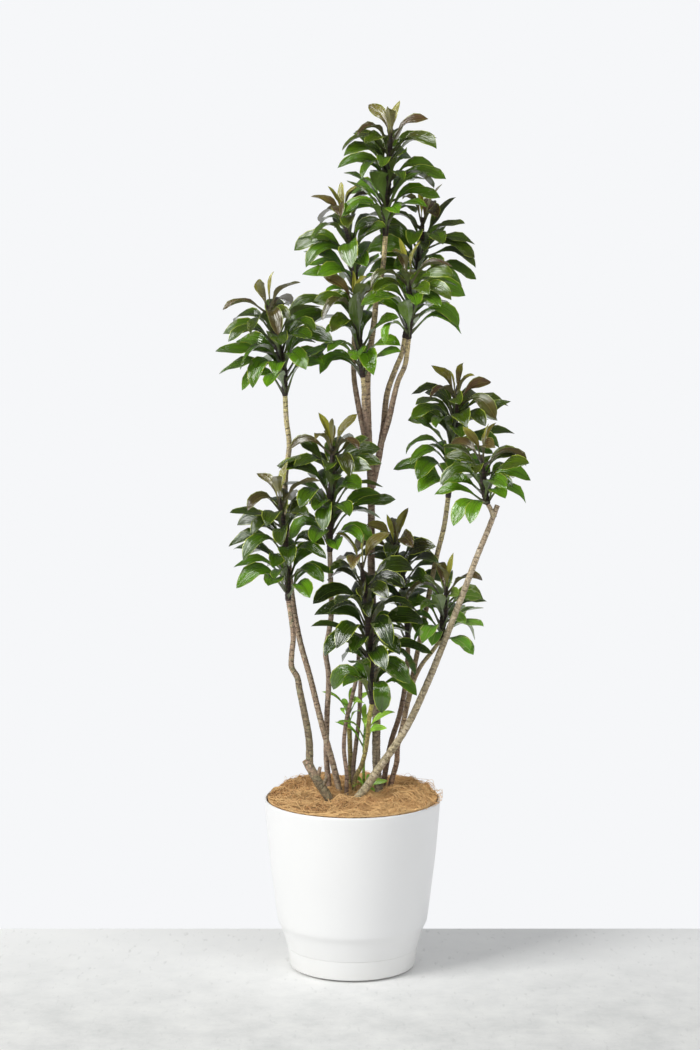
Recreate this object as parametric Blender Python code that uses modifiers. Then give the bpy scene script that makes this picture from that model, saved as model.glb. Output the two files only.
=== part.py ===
"""A purple compacta dracaena, about 1.6 m tall, growing in a white two-piece plastic pot.

Eleven bare canes stand in holes through a mat of coconut fibre and into the soil. Thirteen heads of
glossy leaves sit on the canes, each with a tuft of young bronze leaves at its tip, and three small
shoots grow low down. The pot's underside is at z = 0 and its centre line is the z axis. The plant is
seen from -Y, with +X to the right. Units in this file are millimetres, turned to metres by MM.
"""

import math
import random
from collections import namedtuple

import bmesh
import bpy
from mathutils import Vector
from mathutils.bvhtree import BVHTree

MM = 0.001
GAP = 0.3  # between pieces that touch

# Pot: outer radius at each height, from the rim down to the ledge over the saucer.
POT_SIDES = 36
POT_HEIGHT = 323.5
POT_OUTLINE = (
    (161.5, 323.5),
    (164.3, 322.4),
    (165.0, 319.5),
    (157.5, 226),
    (142.8, 104),
    (141.0, 89),
    (137.4, 83),
    (133.7, 77),
    (132.0, 73),
    (123.5, 40.5),
)
POT_WALL = 4.0
POT_LIP = 0.6  # how much thinner the wall gets at the rim
POT_FOOT_RADIUS = 106.0
POT_FLOOR = 4.0
POT_STEP_INSIDE = (105.0, 46.0)  # where the inside widens above the foot
POT_INSIDE_HEIGHTS = (73, 104, 226)
DRAIN_HOLES = 4
DRAIN_RADIUS = 7.0
DRAIN_CIRCLE = 62.0
DRAIN_SIDES = 6

# Saucer: a shallow cup around the foot of the pot.
SAUCER_TOP = 40.2
SAUCER_TOP_RADIUS = 122.4
SAUCER_BASE_RADIUS = 117.6
SAUCER_WALL = 3.2
SAUCER_FLOOR = 4.0
SAUCER_EDGE = 3.0

# Fill of the pot.
SOIL_TOP = 284.0
MAT_EDGE_TOP = 314.0
MAT_CROWN_TOP = 326.0
MAT_RINGS = (0.0, 0.36, 0.72, 1.0)
MAT_SIDES = 28
MAT_LUMP = 3.0
MAT_TILT = 12.0
MAT_TILT_TOWARDS = 75.0
SIDE_ROOM = 1.0  # between the fill and the pot's wall
MAT_REACH = 159.3
HOLE_ABOVE = 40.0  # how far a hole's cutter goes on above the mat

# Leaves. Widths and stations are shares of the leaf's length, angles are in degrees.
LEAF_WIDTH = 0.32
YOUNG_WIDTH = 0.35
SHOOT_WIDTH = 0.20
LOWEST_LEAF = 0.04
HIGHEST_LEAF = 0.9
STALK_END = 0.26
STALK_WIDTH = 0.18
BLADE_SKEW = 1.0
BLADE_FULLNESS = 0.8
RIB_HALF = 0.8
LIGHT = (-0.25, -0.78, 0.57)  # from where the leaves get their light
LIGHT_TURN = 0.48  # share of the turn towards it that a leaf makes
LIGHT_TURN_MAX = 44
LIGHT_DROOP = 20  # how much further a leaf that grows towards the light arches over
SWEEP = 30  # most that a leaf curves sideways, in degrees
TWIST = 34
OWN_WANDER = 0.3  # share of that curve and twist in a leaf set by hand
STALK_RIB_EXTRA = 1.2
STEM_SIDES = 6
RING_STAGGER = 0.3
ROWS_PER_LEAF = 0.5
ROOT_INSET = 0.12
HEAD_STEM_RADII = (5.2, 7.4, 4.8)
YOUNG_STEM = 26.0
YOUNG_STEM_RADII = (4.6, 2.6)
YOUNG_STEM_ROWS = 4
YOUNG_LENGTHS = (100, 68)
YOUNG_SPREAD = 34
YOUNG_BENDS = (78, 8)
SHOOT_STEM_RADII = (3.2, 1.8)
SHOOT_ROWS_PER_LEAF = 0.8
SHOOT_BEND = 40
SHOOT_HOLE_RADIUS = 4.1
LEAF_STATIONS = (0.0, 0.29, 0.54, 0.82, 1.0)
INNER_STATIONS = (0.0, 0.29, 0.66, 1.0)
INNER_FROM = 0.22
YOUNG_STATIONS = (0.0, 0.28, 0.62, 1.0)
SHOOT_STATIONS = (0.0, 0.5, 1.0)
STALK_RINGS_END = 0.35
BEND_FROM = 0.14
BEND_TO = 0.82
PATH_STEPS = 24
GOLDEN_ANGLE = 137.5
CLEARANCE = 0.9
TRIES = 28

Cane = namedtuple("Cane", "name route radii sides colour")
Leaf = namedtuple("Leaf", "height azimuth length lean bend")
Head = namedtuple("Head", "name stem count lengths leans bends young young_lean seed own")

# Canes: route from the bottom end in the soil up to the head, then radius at foot and top.
BARK = "#8a7560"
GREEN_BARK = "#a39a5c"
DARK_BARK = "#6e5f50"
OLD_BARK = "#74745a"

STUMP = Cane(
    "cane_stump",
    ((-26, -38, 268), (-41, -44, 325), (-68, -46, 371), (-86, -46, 405)),
    (10.5, 9.5),
    8,
    OLD_BARK,
)
STUMP_SHOOT = Cane(
    "stump_shoot",
    (
        (-80, -45, 392),
        (-80, -45, 437),
        (-90, -49, 500),
        (-98, -50, 540),
        (-102, -50, 562),
        (-112, -52, 581),
        (-112, -54, 605),
        (-109, -55, 636),
        (-112, -55, 666),
        (-118, -55, 706),
    ),
    (6.2, 4.9),
    6,
    BARK,
)
STUMP_NUBS = (((-66, -46, 368), (-60, -50, 392)), ((-57, -46, 352), (-45, -52, 378)))
NUB_RADII = (4.5, 3.6)

CANES = (
    Cane(
        "cane_left",
        (
            (-12, 14, 268),
            (-23, 16, 324),
            (-35, 16, 377),
            (-57, 18, 457),
            (-80, 26, 549),
            (-99, 35, 617),
            (-114, 35, 708),
            (-121, 30, 807),
            (-124, 20, 930),
            (-117, 15, 988),
            (-122, 10, 1033),
            (-124, 5, 1078),
        ),
        (6.9, 5.2),
        6,
        GREEN_BARK,
    ),
    Cane(
        "cane_inner_left",
        (
            (-40, 44, 268),
            (-44, 46, 327),
            (-49, 44, 385),
            (-48, 36, 470),
            (-45, 22, 557),
            (-50, 10, 600),
            (-44, 5, 636),
            (-39, -4, 676),
            (-40, -10, 722),
            (-42, -10, 790),
        ),
        (6.3, 5.3),
        6,
        BARK,
    ),
    Cane(
        "cane_thin",
        (
            (-6, -1, 268),
            (-11, -3, 324),
            (-11, 0, 370),
            (-16, 5, 414),
            (-11, 9, 470),
            (1, 11, 520),
            (9, 14, 556),
            (12, 16, 610),
        ),
        (4.6, 4.2),
        6,
        BARK,
    ),
    Cane(
        "cane_behind",
        ((8, 36, 268), (3, 33, 326), (2, 30, 374), (6, 30, 412), (12, 32, 465), (16, 32, 560)),
        (4.9, 4.5),
        6,
        DARK_BARK,
    ),
    Cane(
        "cane_stub",
        ((0, 58, 268), (-3, 50, 326), (-4, 47, 390), (-6, 46, 448)),
        (5.6, 5.2),
        6,
        GREEN_BARK,
    ),
    Cane(
        "cane_centre",
        (
            (2, 16, 268),
            (2, 11, 325),
            (6, 8, 360),
            (16, 0, 382),
            (23, -9, 408),
            (28, -20, 443),
            (32, -35, 488),
            (36, -45, 511),
        ),
        (4.9, 4.8),
        6,
        GREEN_BARK,
    ),
    Cane(
        "cane_back_right",
        (
            (52, 62, 268),
            (58, 57, 326),
            (64, 56, 369),
            (76, 55, 427),
            (87, 55, 461),
            (96, 55, 502),
            (103, 55, 559),
            (105, 55, 604),
        ),
        (6.2, 5.2),
        6,
        DARK_BARK,
    ),
    Cane(
        "cane_cut",
        (
            (-9, -21, 268),
            (8, -29, 326),
            (23, -32, 346),
            (49, -36, 387),
            (73, -39, 422),
            (95, -42, 457),
            (139, -48, 552),
            (168, -55, 627),
            (207, -65, 733),
            (229, -70, 794),
            (248, -70, 841),
            (264, -70, 884),
        ),
        (9.5, 5.4),
        8,
        BARK,
    ),
)

CANE_RIGHT = Cane(
    "cane_right",
    (
        (64, 42, 268),
        (70, 46, 326),
        (76, 45, 351),
        (84, 40, 384),
        (85, 38, 411),
        (92, 34, 442),
        (98, 30, 470),
        (105, 28, 505),
        (116, 30, 564),
        (134, 30, 655),
        (157, 30, 775),
        (171, 30, 834),
        (178, 30, 886),
    ),
    (6.0, 5.2),
    6,
    GREEN_BARK,
)
CANE_RIGHT_BRANCH = Cane(
    "right_branch",
    ((104, 28, 500), (116, 22, 545), (130, 10, 575), (150, -4, 604), (163, -10, 624)),
    (4.6, 4.2),
    6,
    GREEN_BARK,
)

TRUNK = Cane(
    "trunk",
    (
        (49, 24, 268),
        (50, 26, 327),
        (46, 27, 372),
        (45, 30, 488),
        (40, 35, 617),
        (35, 40, 768),
        (35, 36, 881),
        (33, 30, 938),
        (29, 25, 1032),
        (28, 20, 1113),
        (35, 10, 1180),
        (41, 5, 1226),
        (44, 0, 1263),
        (54, -5, 1305),
        (60, -5, 1370),
    ),
    (9.6, 5.0),
    8,
    BARK,
)
TRUNK_BRANCHES = (
    Cane(
        "branch_upper_left",
        (
            (33, 31, 950),
            (21, 35, 1010),
            (9, 37, 1068),
            (3, 41, 1108),
            (2, 45, 1150),
            (5, 46, 1215),
            (6, 45, 1252),
        ),
        (5.4, 4.8),
        6,
        BARK,
    ),
    Cane(
        "branch_middle",
        ((30, 25, 1000), (25, 12, 1035), (21, 5, 1066), (21, 3, 1088), (19, 2, 1112)),
        (5.0, 4.8),
        6,
        GREEN_BARK,
    ),
    Cane(
        "branch_back_right",
        (
            (36, 33, 905),
            (47, 36, 952),
            (57, 45, 1011),
            (66, 54, 1085),
            (81, 60, 1126),
            (92, 60, 1153),
            (97, 56, 1181),
        ),
        (6.0, 5.0),
        6,
        BARK,
    ),
    Cane(
        "branch_front_right",
        (
            (54, 42, 990),
            (67, 33, 1031),
            (75, 15, 1069),
            (84, 0, 1106),
            (96, -18, 1136),
            (100, -28, 1164),
            (102, -34, 1185),
        ),
        (5.4, 5.0),
        6,
        GREEN_BARK,
    ),
)

SHOOT_STEM = Cane(
    "shoot_stem",
    ((24, 28, 268), (22, 26, 330), (21, 22, 372), (22, 20, 404)),
    (3.4, 2.8),
    6,
    GREEN_BARK,
)

CUT_BRANCH = Cane(
    "cut_branch", ((258, -70, 862), (252, -73, 876), (246, -75, 887)), (4.8, 4.6), 6, BARK
)

CARRIERS = CANES + TRUNK_BRANCHES + (TRUNK, STUMP_SHOOT, CANE_RIGHT, CANE_RIGHT_BRANCH, CUT_BRANCH)

# Heads: stem of the head, then how many leaves and how they change from the lowest to the highest.
HEADS = (
    Head(
        "top",
        ((60, -5, 1370), (61, -5, 1435), (65, -5, 1490), (68, -5, 1530)),
        28,
        (118, 130, 104),
        (28, 22),
        (84, 74),
        7,
        10,
        11,
        (
            Leaf(0.02, 283, 108, 16, 78),
            Leaf(0.12, 241, 106, 48, 18),
            Leaf(0.25, 250, 114, 17, 37),
            Leaf(0.27, 227, 110, 48, 20),
            Leaf(0.3, 316, 111, 27, 32),
            Leaf(0.39, 342, 108, 55, 43),
            Leaf(0.39, 213, 104, 43, 13),
            Leaf(0.59, 294, 109, 27, 37),
            Leaf(0.66, 354, 106, 70, 41),
            Leaf(0.67, 215, 116, 28, 63),
            Leaf(0.93, 325, 115, 47, 60),
            Leaf(0.96, 207, 110, 46, 69),
        ),
    ),
    Head(
        "upper_left",
        ((6, 45, 1252), (3, 43, 1307), (-4, 41, 1355), (-12, 39, 1388)),
        20,
        (118, 128, 104),
        (28, 22),
        (88, 70),
        7,
        12,
        12,
        (
            Leaf(0.02, 263, 112, 44, 2),
            Leaf(0.02, 307, 101, 35, 51),
            Leaf(0.1, 182, 107, 43, 45),
            Leaf(0.1, 301, 117, 32, 28),
            Leaf(0.25, 180, 113, 32, 44),
            Leaf(0.34, 177, 102, 62, 24),
            Leaf(0.63, 307, 120, 43, 32),
            Leaf(0.72, 191, 100, 59, 21),
        ),
    ),
    Head(
        "back_right",
        ((97, 56, 1181), (112, 58, 1252), (124, 60, 1330), (128, 60, 1378)),
        20,
        (118, 128, 108),
        (28, 22),
        (84, 66),
        6,
        14,
        13,
        (
            Leaf(0.63, 359, 113, 64, 54),
            Leaf(0.7, 300, 100, 50, 120),
            Leaf(0.73, 357, 112, 64, 55),
            Leaf(0.78, 293, 113, 44, 59),
            Leaf(0.79, 260, 104, 34, 78),
            Leaf(0.86, 354, 108, 63, 64),
            Leaf(0.92, 316, 109, 51, 25),
            Leaf(0.95, 350, 100, 70, 38),
            Leaf(0.96, 358, 121, 35, 10),
        ),
    ),
    Head(
        "front_right",
        ((102, -34, 1185), (104, -38, 1222), (104, -42, 1258), (102, -44, 1280)),
        18,
        (110, 120, 96),
        (30, 24),
        (84, 66),
        6,
        12,
        14,
        (
            Leaf(0.03, 260, 108, 21, 26),
            Leaf(0.2, 295, 106, 52, 62),
            Leaf(0.37, 275, 114, 26, 69),
            Leaf(0.41, 358, 103, 59, 79),
            Leaf(0.5, 239, 115, 56, 13),
            Leaf(0.52, 48, 113, 68, 47),
            Leaf(0.73, 315, 103, 50, 58),
            Leaf(0.75, 322, 110, 49, 42),
            Leaf(0.96, 217, 109, 23, 33),
        ),
    ),
    Head(
        "middle",
        ((19, 2, 1112), (14, 0, 1160), (8, -4, 1200), (5, -6, 1226)),
        19,
        (122, 132, 116),
        (24, 14),
        (100, 58),
        5,
        10,
        15,
        (
            Leaf(0.02, 316, 105, 40, 39),
            Leaf(0.06, 182, 101, 38, 99),
            Leaf(0.07, 81, 121, 19, 53),
            Leaf(0.14, 319, 110, 32, 58),
            Leaf(0.19, 266, 117, 47, 43),
            Leaf(0.32, 234, 101, 43, 50),
            Leaf(0.48, 316, 116, 40, 27),
            Leaf(0.52, 269, 121, 13, 12),
        ),
    ),
    Head(
        "left",
        ((-124, 5, 1078), (-127, 1, 1130), (-139, -5, 1180), (-150, -8, 1220)),
        21,
        (126, 132, 104),
        (26, 26),
        (92, 70),
        7,
        30,
        16,
        (
            Leaf(0.02, 256, 118, 37, 60),
            Leaf(0.16, 330, 114, 36, 31),
            Leaf(0.26, 223, 114, 39, 106),
            Leaf(0.4, 180, 117, 73, 31),
            Leaf(0.48, 305, 125, 34, 56),
            Leaf(0.56, 181, 114, 71, 11),
            Leaf(0.71, 209, 110, 37, 68),
            Leaf(0.96, 0, 126, 51, 46),
        ),
    ),
    Head(
        "right",
        ((178, 30, 886), (184, 30, 957), (189, 30, 1014), (192, 30, 1054)),
        24,
        (118, 128, 104),
        (26, 24),
        (90, 70),
        8,
        26,
        17,
        (
            Leaf(0.15, 269, 111, 26, 68),
            Leaf(0.37, 210, 103, 44, 70),
            Leaf(0.49, 273, 122, 31, 61),
            Leaf(0.5, 182, 102, 45, 80),
            Leaf(0.5, 240, 102, 72, 125),
            Leaf(0.53, 221, 115, 46, 7),
            Leaf(0.63, 357, 111, 67, 27),
            Leaf(0.7, 280, 122, 32, 63),
            Leaf(0.75, 204, 113, 31, 80),
            Leaf(0.77, 353, 109, 62, 0),
            Leaf(0.77, 226, 122, 35, 48),
            Leaf(0.84, 314, 113, 46, 49),
            Leaf(0.96, 18, 118, 52, 58),
        ),
    ),
    Head(
        "low_right",
        ((246, -75, 887), (240, -78, 908), (237, -80, 936), (236, -80, 952)),
        13,
        (104, 110, 90),
        (40, 26),
        (100, 60),
        6,
        14,
        18,
        (
            Leaf(0.02, 222, 101, 66, 61),
            Leaf(0.02, 235, 113, 73, 49),
            Leaf(0.02, 284, 101, 43, 53),
            Leaf(0.04, 178, 102, 46, 48),
            Leaf(0.06, 271, 101, 74, 125),
            Leaf(0.14, 286, 123, 37, 48),
            Leaf(0.19, 56, 113, 56, 56),
            Leaf(0.4, 239, 114, 35, 17),
            Leaf(0.8, 315, 113, 64, 12),
            Leaf(0.87, 216, 108, 35, 28),
        ),
    ),
    Head(
        "inner_left",
        ((-42, -10, 790), (-41, -12, 850), (-38, -15, 918), (-37, -16, 962)),
        25,
        (118, 130, 108),
        (28, 24),
        (92, 70),
        8,
        24,
        19,
        (
            Leaf(0.02, 278, 109, 54, 37),
            Leaf(0.09, 316, 113, 47, 54),
            Leaf(0.1, 254, 122, 47, 47),
            Leaf(0.3, 297, 106, 25, 81),
            Leaf(0.36, 247, 106, 32, 62),
            Leaf(0.4, 358, 119, 68, 13),
            Leaf(0.6, 31, 110, 50, 83),
            Leaf(0.78, 226, 109, 38, 54),
            Leaf(0.8, 346, 103, 41, 62),
            Leaf(0.91, 178, 102, 67, 43),
            Leaf(0.92, 178, 122, 52, 29),
            Leaf(0.95, 313, 114, 39, 20),
        ),
    ),
    Head(
        "low_left",
        ((-118, -55, 706), (-120, -55, 763), (-125, -55, 828), (-130, -55, 870)),
        19,
        (118, 124, 100),
        (28, 24),
        (92, 70),
        7,
        14,
        20,
        (
            Leaf(0.02, 299, 114, 47, 56),
            Leaf(0.09, 250, 118, 49, 33),
            Leaf(0.24, 258, 118, 22, 71),
            Leaf(0.24, 318, 100, 48, 72),
            Leaf(0.25, 181, 110, 41, 63),
            Leaf(0.41, 158, 109, 57, 38),
            Leaf(0.46, 272, 114, 41, 69),
            Leaf(0.65, 178, 108, 60, 55),
            Leaf(0.75, 256, 116, 30, 66),
            Leaf(0.87, 239, 108, 57, 39),
            Leaf(0.89, 217, 111, 66, 2),
        ),
    ),
    Head(
        "centre",
        ((36, -45, 511), (33, -52, 576), (27, -60, 690), (19, -64, 752)),
        30,
        (118, 124, 112),
        (32, 26),
        (110, 78),
        5,
        12,
        21,
        (
            Leaf(0.02, 238, 110, 25, 46),
            Leaf(0.06, 0, 102, 45, 94),
            Leaf(0.11, 242, 121, 20, 40),
            Leaf(0.12, 288, 108, 51, 125),
            Leaf(0.17, 52, 112, 49, 98),
            Leaf(0.33, 141, 115, 40, 81),
            Leaf(0.37, 360, 117, 67, 48),
            Leaf(0.37, 249, 109, 27, 77),
            Leaf(0.4, 310, 107, 32, 83),
            Leaf(0.55, 180, 104, 65, 11),
            Leaf(0.68, 233, 124, 29, 51),
            Leaf(0.82, 334, 113, 15, 106),
            Leaf(0.92, 229, 112, 33, 44),
        ),
    ),
    Head(
        "centre_right",
        ((105, 55, 604), (102, 50, 671), (92, 44, 740), (84, 40, 775)),
        24,
        (112, 122, 108),
        (28, 24),
        (90, 70),
        6,
        14,
        22,
        (
            Leaf(0.24, 281, 123, 13, 63),
            Leaf(0.38, 283, 113, 18, 68),
            Leaf(0.75, 316, 110, 39, 53),
            Leaf(0.89, 265, 112, 12, 77),
            Leaf(0.94, 42, 109, 44, 83),
            Leaf(0.96, 45, 121, 25, 81),
        ),
    ),
    Head(
        "pale",
        ((163, -10, 624), (168, -11, 656), (171, -12, 684), (172, -13, 700)),
        13,
        (102, 106, 84),
        (38, 24),
        (96, 60),
        5,
        10,
        23,
        (
            Leaf(0.02, 298, 104, 74, 23),
            Leaf(0.02, 297, 103, 74, 55),
            Leaf(0.03, 272, 109, 52, 57),
            Leaf(0.2, 134, 107, 48, 76),
            Leaf(0.21, 250, 107, 62, 44),
            Leaf(0.22, 319, 102, 55, 27),
            Leaf(0.41, 65, 109, 56, 73),
            Leaf(0.5, 36, 114, 50, 53),
            Leaf(0.52, 255, 106, 40, 7),
            Leaf(0.83, 241, 113, 33, 13),
            Leaf(0.94, 35, 102, 53, 74),
        ),
    ),
)

# Small shoots low on the plant: stem, leaf count, length and lean.
SHOOTS = (
    ("shoot_left", ((-6, 46, 448), (-7, 45, 470), (-10, 43, 492)), 7, 62, 34, 31),
    ("shoot_right", ((22, 20, 404), (23, 18, 440), (24, 16, 462)), 9, 74, 30, 32),
    ("shoot_low", ((24, 0, 275), (26, -2, 330), (28, -4, 362)), 6, 46, 40, 33),
)
SHOOT_LOWEST = {"shoot_left": 0.2, "shoot_right": 0.2, "shoot_low": 0.68}


def empty_scene():
    """Remove whatever the scene holds."""
    for item in list(bpy.data.objects):
        bpy.data.objects.remove(item, do_unlink=True)


def collection(name):
    """A new collection in the scene."""
    made = bpy.data.collections.new(name)
    bpy.context.scene.collection.children.link(made)
    return made


def linear(colour):
    """A hex colour as linear RGBA."""
    parts = [int(colour[k : k + 2], 16) / 255 for k in (1, 3, 5)]
    return [c / 12.92 if c <= 0.04045 else ((c + 0.055) / 1.055) ** 2.4 for c in parts] + [1.0]


def material(name, colour, roughness):
    """One Principled material for one piece."""
    made = bpy.data.materials.new(name)
    made.use_nodes = True
    shader = made.node_tree.nodes["Principled BSDF"]
    shader.inputs["Base Color"].default_value = linear(colour)
    shader.inputs["Roughness"].default_value = roughness
    shader.inputs["Metallic"].default_value = 0.0
    made.diffuse_color = linear(colour)
    return made


def add_object(name, mesh, where, finish=None):
    """Link a mesh as a named object."""
    made = bpy.data.objects.new(name, mesh)
    where.objects.link(made)
    if finish:
        mesh.materials.clear()
        mesh.materials.append(finish)
    return made


def shade_round(item, degrees=40):
    """Smooth shading with sharp edges kept."""
    item.data.shade_smooth()
    item.data.set_sharp_from_angle(angle=math.radians(degrees))


def turned(name, profile, sides, where, finish):
    """A solid of revolution from (radius, height) points that run down its outer side."""
    mesh = bpy.data.meshes.new(name)
    points = [(r * MM, 0.0, z * MM) for r, z in profile]
    mesh.from_pydata(points, [(k, k + 1) for k in range(len(points) - 1)], [])
    made = add_object(name, mesh, where, finish)
    screw = made.modifiers.new("turn", "SCREW")
    screw.steps = sides
    screw.render_steps = sides
    screw.use_merge_vertices = True
    screw.merge_threshold = 0.00002
    screw.use_smooth_shade = True
    return made


def baked(item):
    """Replace an object's mesh by its evaluated one and drop its modifiers."""
    graph = bpy.context.evaluated_depsgraph_get()
    mesh = bpy.data.meshes.new_from_object(item.evaluated_get(graph))
    item.modifiers.clear()
    item.data = mesh
    return item


def tube(name, points, radii, sides, where, finish=None):
    """A round rod along points in millimetres, as a welded mesh."""
    curve = bpy.data.curves.new(name, "CURVE")
    curve.dimensions = "3D"
    curve.bevel_depth = MM
    curve.bevel_resolution = (sides - 4) // 2
    curve.use_fill_caps = True
    line = curve.splines.new("POLY")
    line.points.add(len(points) - 1)
    for spot, place, radius in zip(line.points, points, radii):
        spot.co = (place[0] * MM, place[1] * MM, place[2] * MM, 1.0)
        spot.radius = radius
    rod = bpy.data.objects.new(name, curve)
    where.objects.link(rod)
    graph = bpy.context.evaluated_depsgraph_get()
    mesh = bpy.data.meshes.new_from_object(rod.evaluated_get(graph))
    bpy.data.objects.remove(rod)
    shape = bmesh.new()
    shape.from_mesh(mesh)
    bmesh.ops.remove_doubles(shape, verts=shape.verts, dist=0.00001)
    bmesh.ops.recalc_face_normals(shape, faces=shape.faces)
    shape.to_mesh(mesh)
    shape.free()
    return add_object(name, mesh, where, finish)


def tapered(cane, extra=0.0):
    """The radius at each point of a cane, falling evenly from foot to top."""
    last = len(cane.route) - 1
    foot, top = cane.radii
    return [foot + (top - foot) * k / last + extra for k in range(last + 1)]


def cane_rod(cane, where, finish=None, extra=0.0):
    """A cane as a rod, or a fatter copy of it as a cutter."""
    return tube(cane.name, cane.route, tapered(cane, extra), cane.sides, where, finish)


def union(body, others, solver="EXACT"):
    """Fuse other objects into a body and remove them."""
    group = collection("joined")
    for item in others:
        group.objects.link(item)
    joint = body.modifiers.new("join", "BOOLEAN")
    joint.operation = "UNION"
    joint.operand_type = "COLLECTION"
    joint.collection = group
    joint.solver = solver
    baked(body)
    for item in others:
        bpy.data.objects.remove(item, do_unlink=True)
    bpy.data.collections.remove(group)
    return body


def hidden(cutter):
    """Mark an object as a cutter, which is no part of the plant."""
    cutter.hide_render = True
    cutter.display_type = "WIRE"
    return cutter


def hole_cutter(cane, cutters):
    """The plain hole that a cane's foot stands in, a little wider than the cane."""
    foot = Vector(cane.route[0])
    above = Vector(cane.route[1])
    up = (above - foot).normalized()
    start = foot - up * GAP
    points = [start, above, above + (Vector(cane.route[2]) - above).normalized() * HOLE_ABOVE]
    radii = tapered(cane, GAP)[:3]
    name = f"hole_{cane.name}"
    return hidden(tube(name, points, radii, cane.sides, cutters))


def cut(body, cutters):
    """Take a collection of cutters out of a body."""
    hole = body.modifiers.new("holes", "BOOLEAN")
    hole.operation = "DIFFERENCE"
    hole.operand_type = "COLLECTION"
    hole.collection = cutters
    hole.solver = "EXACT"


def radius_at(height):
    """Outer radius of the pot's wall at a height."""
    for (r_up, z_up), (r_down, z_down) in zip(POT_OUTLINE, POT_OUTLINE[1:]):
        if z_down <= height <= z_up:
            return r_down + (r_up - r_down) * (height - z_down) / (z_up - z_down)
    return POT_FOOT_RADIUS


def make_pot(where, cutters):
    """The white pot: a thin tapered wall with a soft shoulder and a narrower foot in the saucer."""
    floor_low = SAUCER_FLOOR + GAP
    floor_top = floor_low + POT_FLOOR
    foot_inside = POT_FOOT_RADIUS - POT_WALL
    profile = [(0, floor_top), (foot_inside, floor_top), POT_STEP_INSIDE]
    profile += [(radius_at(z) - POT_WALL, z) for z in POT_INSIDE_HEIGHTS]
    profile.append((POT_OUTLINE[0][0] - POT_LIP, POT_HEIGHT - 2))
    profile += POT_OUTLINE
    ledge = POT_OUTLINE[-1][1]
    profile += [(POT_FOOT_RADIUS + POT_WALL, ledge), (POT_FOOT_RADIUS, floor_low), (0, floor_low)]
    pot = turned("pot", profile, POT_SIDES, where, material("white_plastic", "#f1f1ee", 0.5))
    drains = collection("drain_cutters")
    for k in range(DRAIN_HOLES):
        turn = math.tau * k / DRAIN_HOLES
        x = DRAIN_CIRCLE * math.cos(turn)
        y = DRAIN_CIRCLE * math.sin(turn)
        ends = [(x, y, floor_low - POT_WALL), (x, y, floor_top + POT_WALL)]
        hidden(tube(f"drain_{k}", ends, (DRAIN_RADIUS, DRAIN_RADIUS), DRAIN_SIDES, drains))
    cut(pot, drains)
    return pot


def make_saucer(where):
    """The shallow cup that clips round the foot of the pot and makes its lowest tier."""
    inner_top = SAUCER_TOP_RADIUS - SAUCER_WALL
    inner_low = SAUCER_BASE_RADIUS - SAUCER_WALL
    profile = [
        (0, SAUCER_FLOOR),
        (inner_low - 1, SAUCER_FLOOR),
        (inner_top, SAUCER_TOP),
        (SAUCER_TOP_RADIUS, SAUCER_TOP),
        (SAUCER_BASE_RADIUS, SAUCER_EDGE),
        (SAUCER_BASE_RADIUS - SAUCER_EDGE * 0.6, 0.5),
        (SAUCER_BASE_RADIUS - SAUCER_EDGE, 0),
        (0, 0),
    ]
    return turned("saucer", profile, POT_SIDES, where, material("white_saucer", "#eeeeeb", 0.5))


def make_soil(where, cutters):
    """Potting soil, from the pot's floor up to under the fibre mat."""
    floor = SAUCER_FLOOR + POT_FLOOR + 2 * GAP
    foot = POT_FOOT_RADIUS - POT_WALL - SIDE_ROOM
    profile = [
        (0, SOIL_TOP),
        (radius_at(SOIL_TOP) - POT_WALL - SIDE_ROOM, SOIL_TOP),
        (radius_at(POT_INSIDE_HEIGHTS[1]) - POT_WALL - SIDE_ROOM, POT_INSIDE_HEIGHTS[1]),
        (foot, POT_STEP_INSIDE[1] - POT_WALL),
        (foot, floor),
        (0, floor),
    ]
    soil = turned("soil", profile, MAT_SIDES, where, material("potting_soil", "#3a2a1f", 0.95))
    cut(soil, cutters)
    return soil


def mat_top(share, turn):
    """Height of the fibre mat's surface at a share of its radius and an angle."""
    crown = MAT_EDGE_TOP + (MAT_CROWN_TOP - MAT_EDGE_TOP) * (1 - share**2.4)
    crown += MAT_TILT * share**2 * (0.5 + 0.5 * math.cos(turn - math.radians(MAT_TILT_TOWARDS)))
    lump = math.sin(3 * turn + 1.1) + math.sin(5 * turn + 4 * share) + math.sin(2 * turn - 2.0)
    return crown + MAT_LUMP * 0.4 * share * lump


def make_mat(where, cutters):
    """The mat of coconut fibre over the soil, a low lumpy crown."""
    shape = bmesh.new()
    low = SOIL_TOP + GAP
    rings = []
    for share in MAT_RINGS[1:]:
        ring = []
        for k in range(MAT_SIDES):
            turn = math.tau * k / MAT_SIDES
            reach = MAT_REACH * share
            place = (reach * math.cos(turn), reach * math.sin(turn))
            ring.append(shape.verts.new((place[0] * MM, place[1] * MM, mat_top(share, turn) * MM)))
        rings.append(ring)
    foot = []
    low_reach = radius_at(low) - POT_WALL - SIDE_ROOM
    for k in range(MAT_SIDES):
        turn = math.tau * k / MAT_SIDES
        place = (low_reach * math.cos(turn), low_reach * math.sin(turn))
        foot.append(shape.verts.new((place[0] * MM, place[1] * MM, low * MM)))
    rings.append(foot)
    centre = shape.verts.new((0, 0, MAT_CROWN_TOP * MM))
    middle = shape.verts.new((0, 0, low * MM))
    for k in range(MAT_SIDES):
        after = (k + 1) % MAT_SIDES
        shape.faces.new((centre, rings[0][k], rings[0][after]))
        shape.faces.new((middle, foot[after], foot[k]))
        for inside, outside in zip(rings, rings[1:]):
            shape.faces.new((inside[k], outside[k], outside[after]))
            shape.faces.new((inside[k], outside[after], inside[after]))
    mesh = bpy.data.meshes.new("coir_mat")
    shape.to_mesh(mesh)
    shape.free()
    mat = add_object("coir_mat", mesh, where, material("coconut_fibre", "#b07d4c", 0.95))
    cut(mat, cutters)
    return mat


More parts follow.
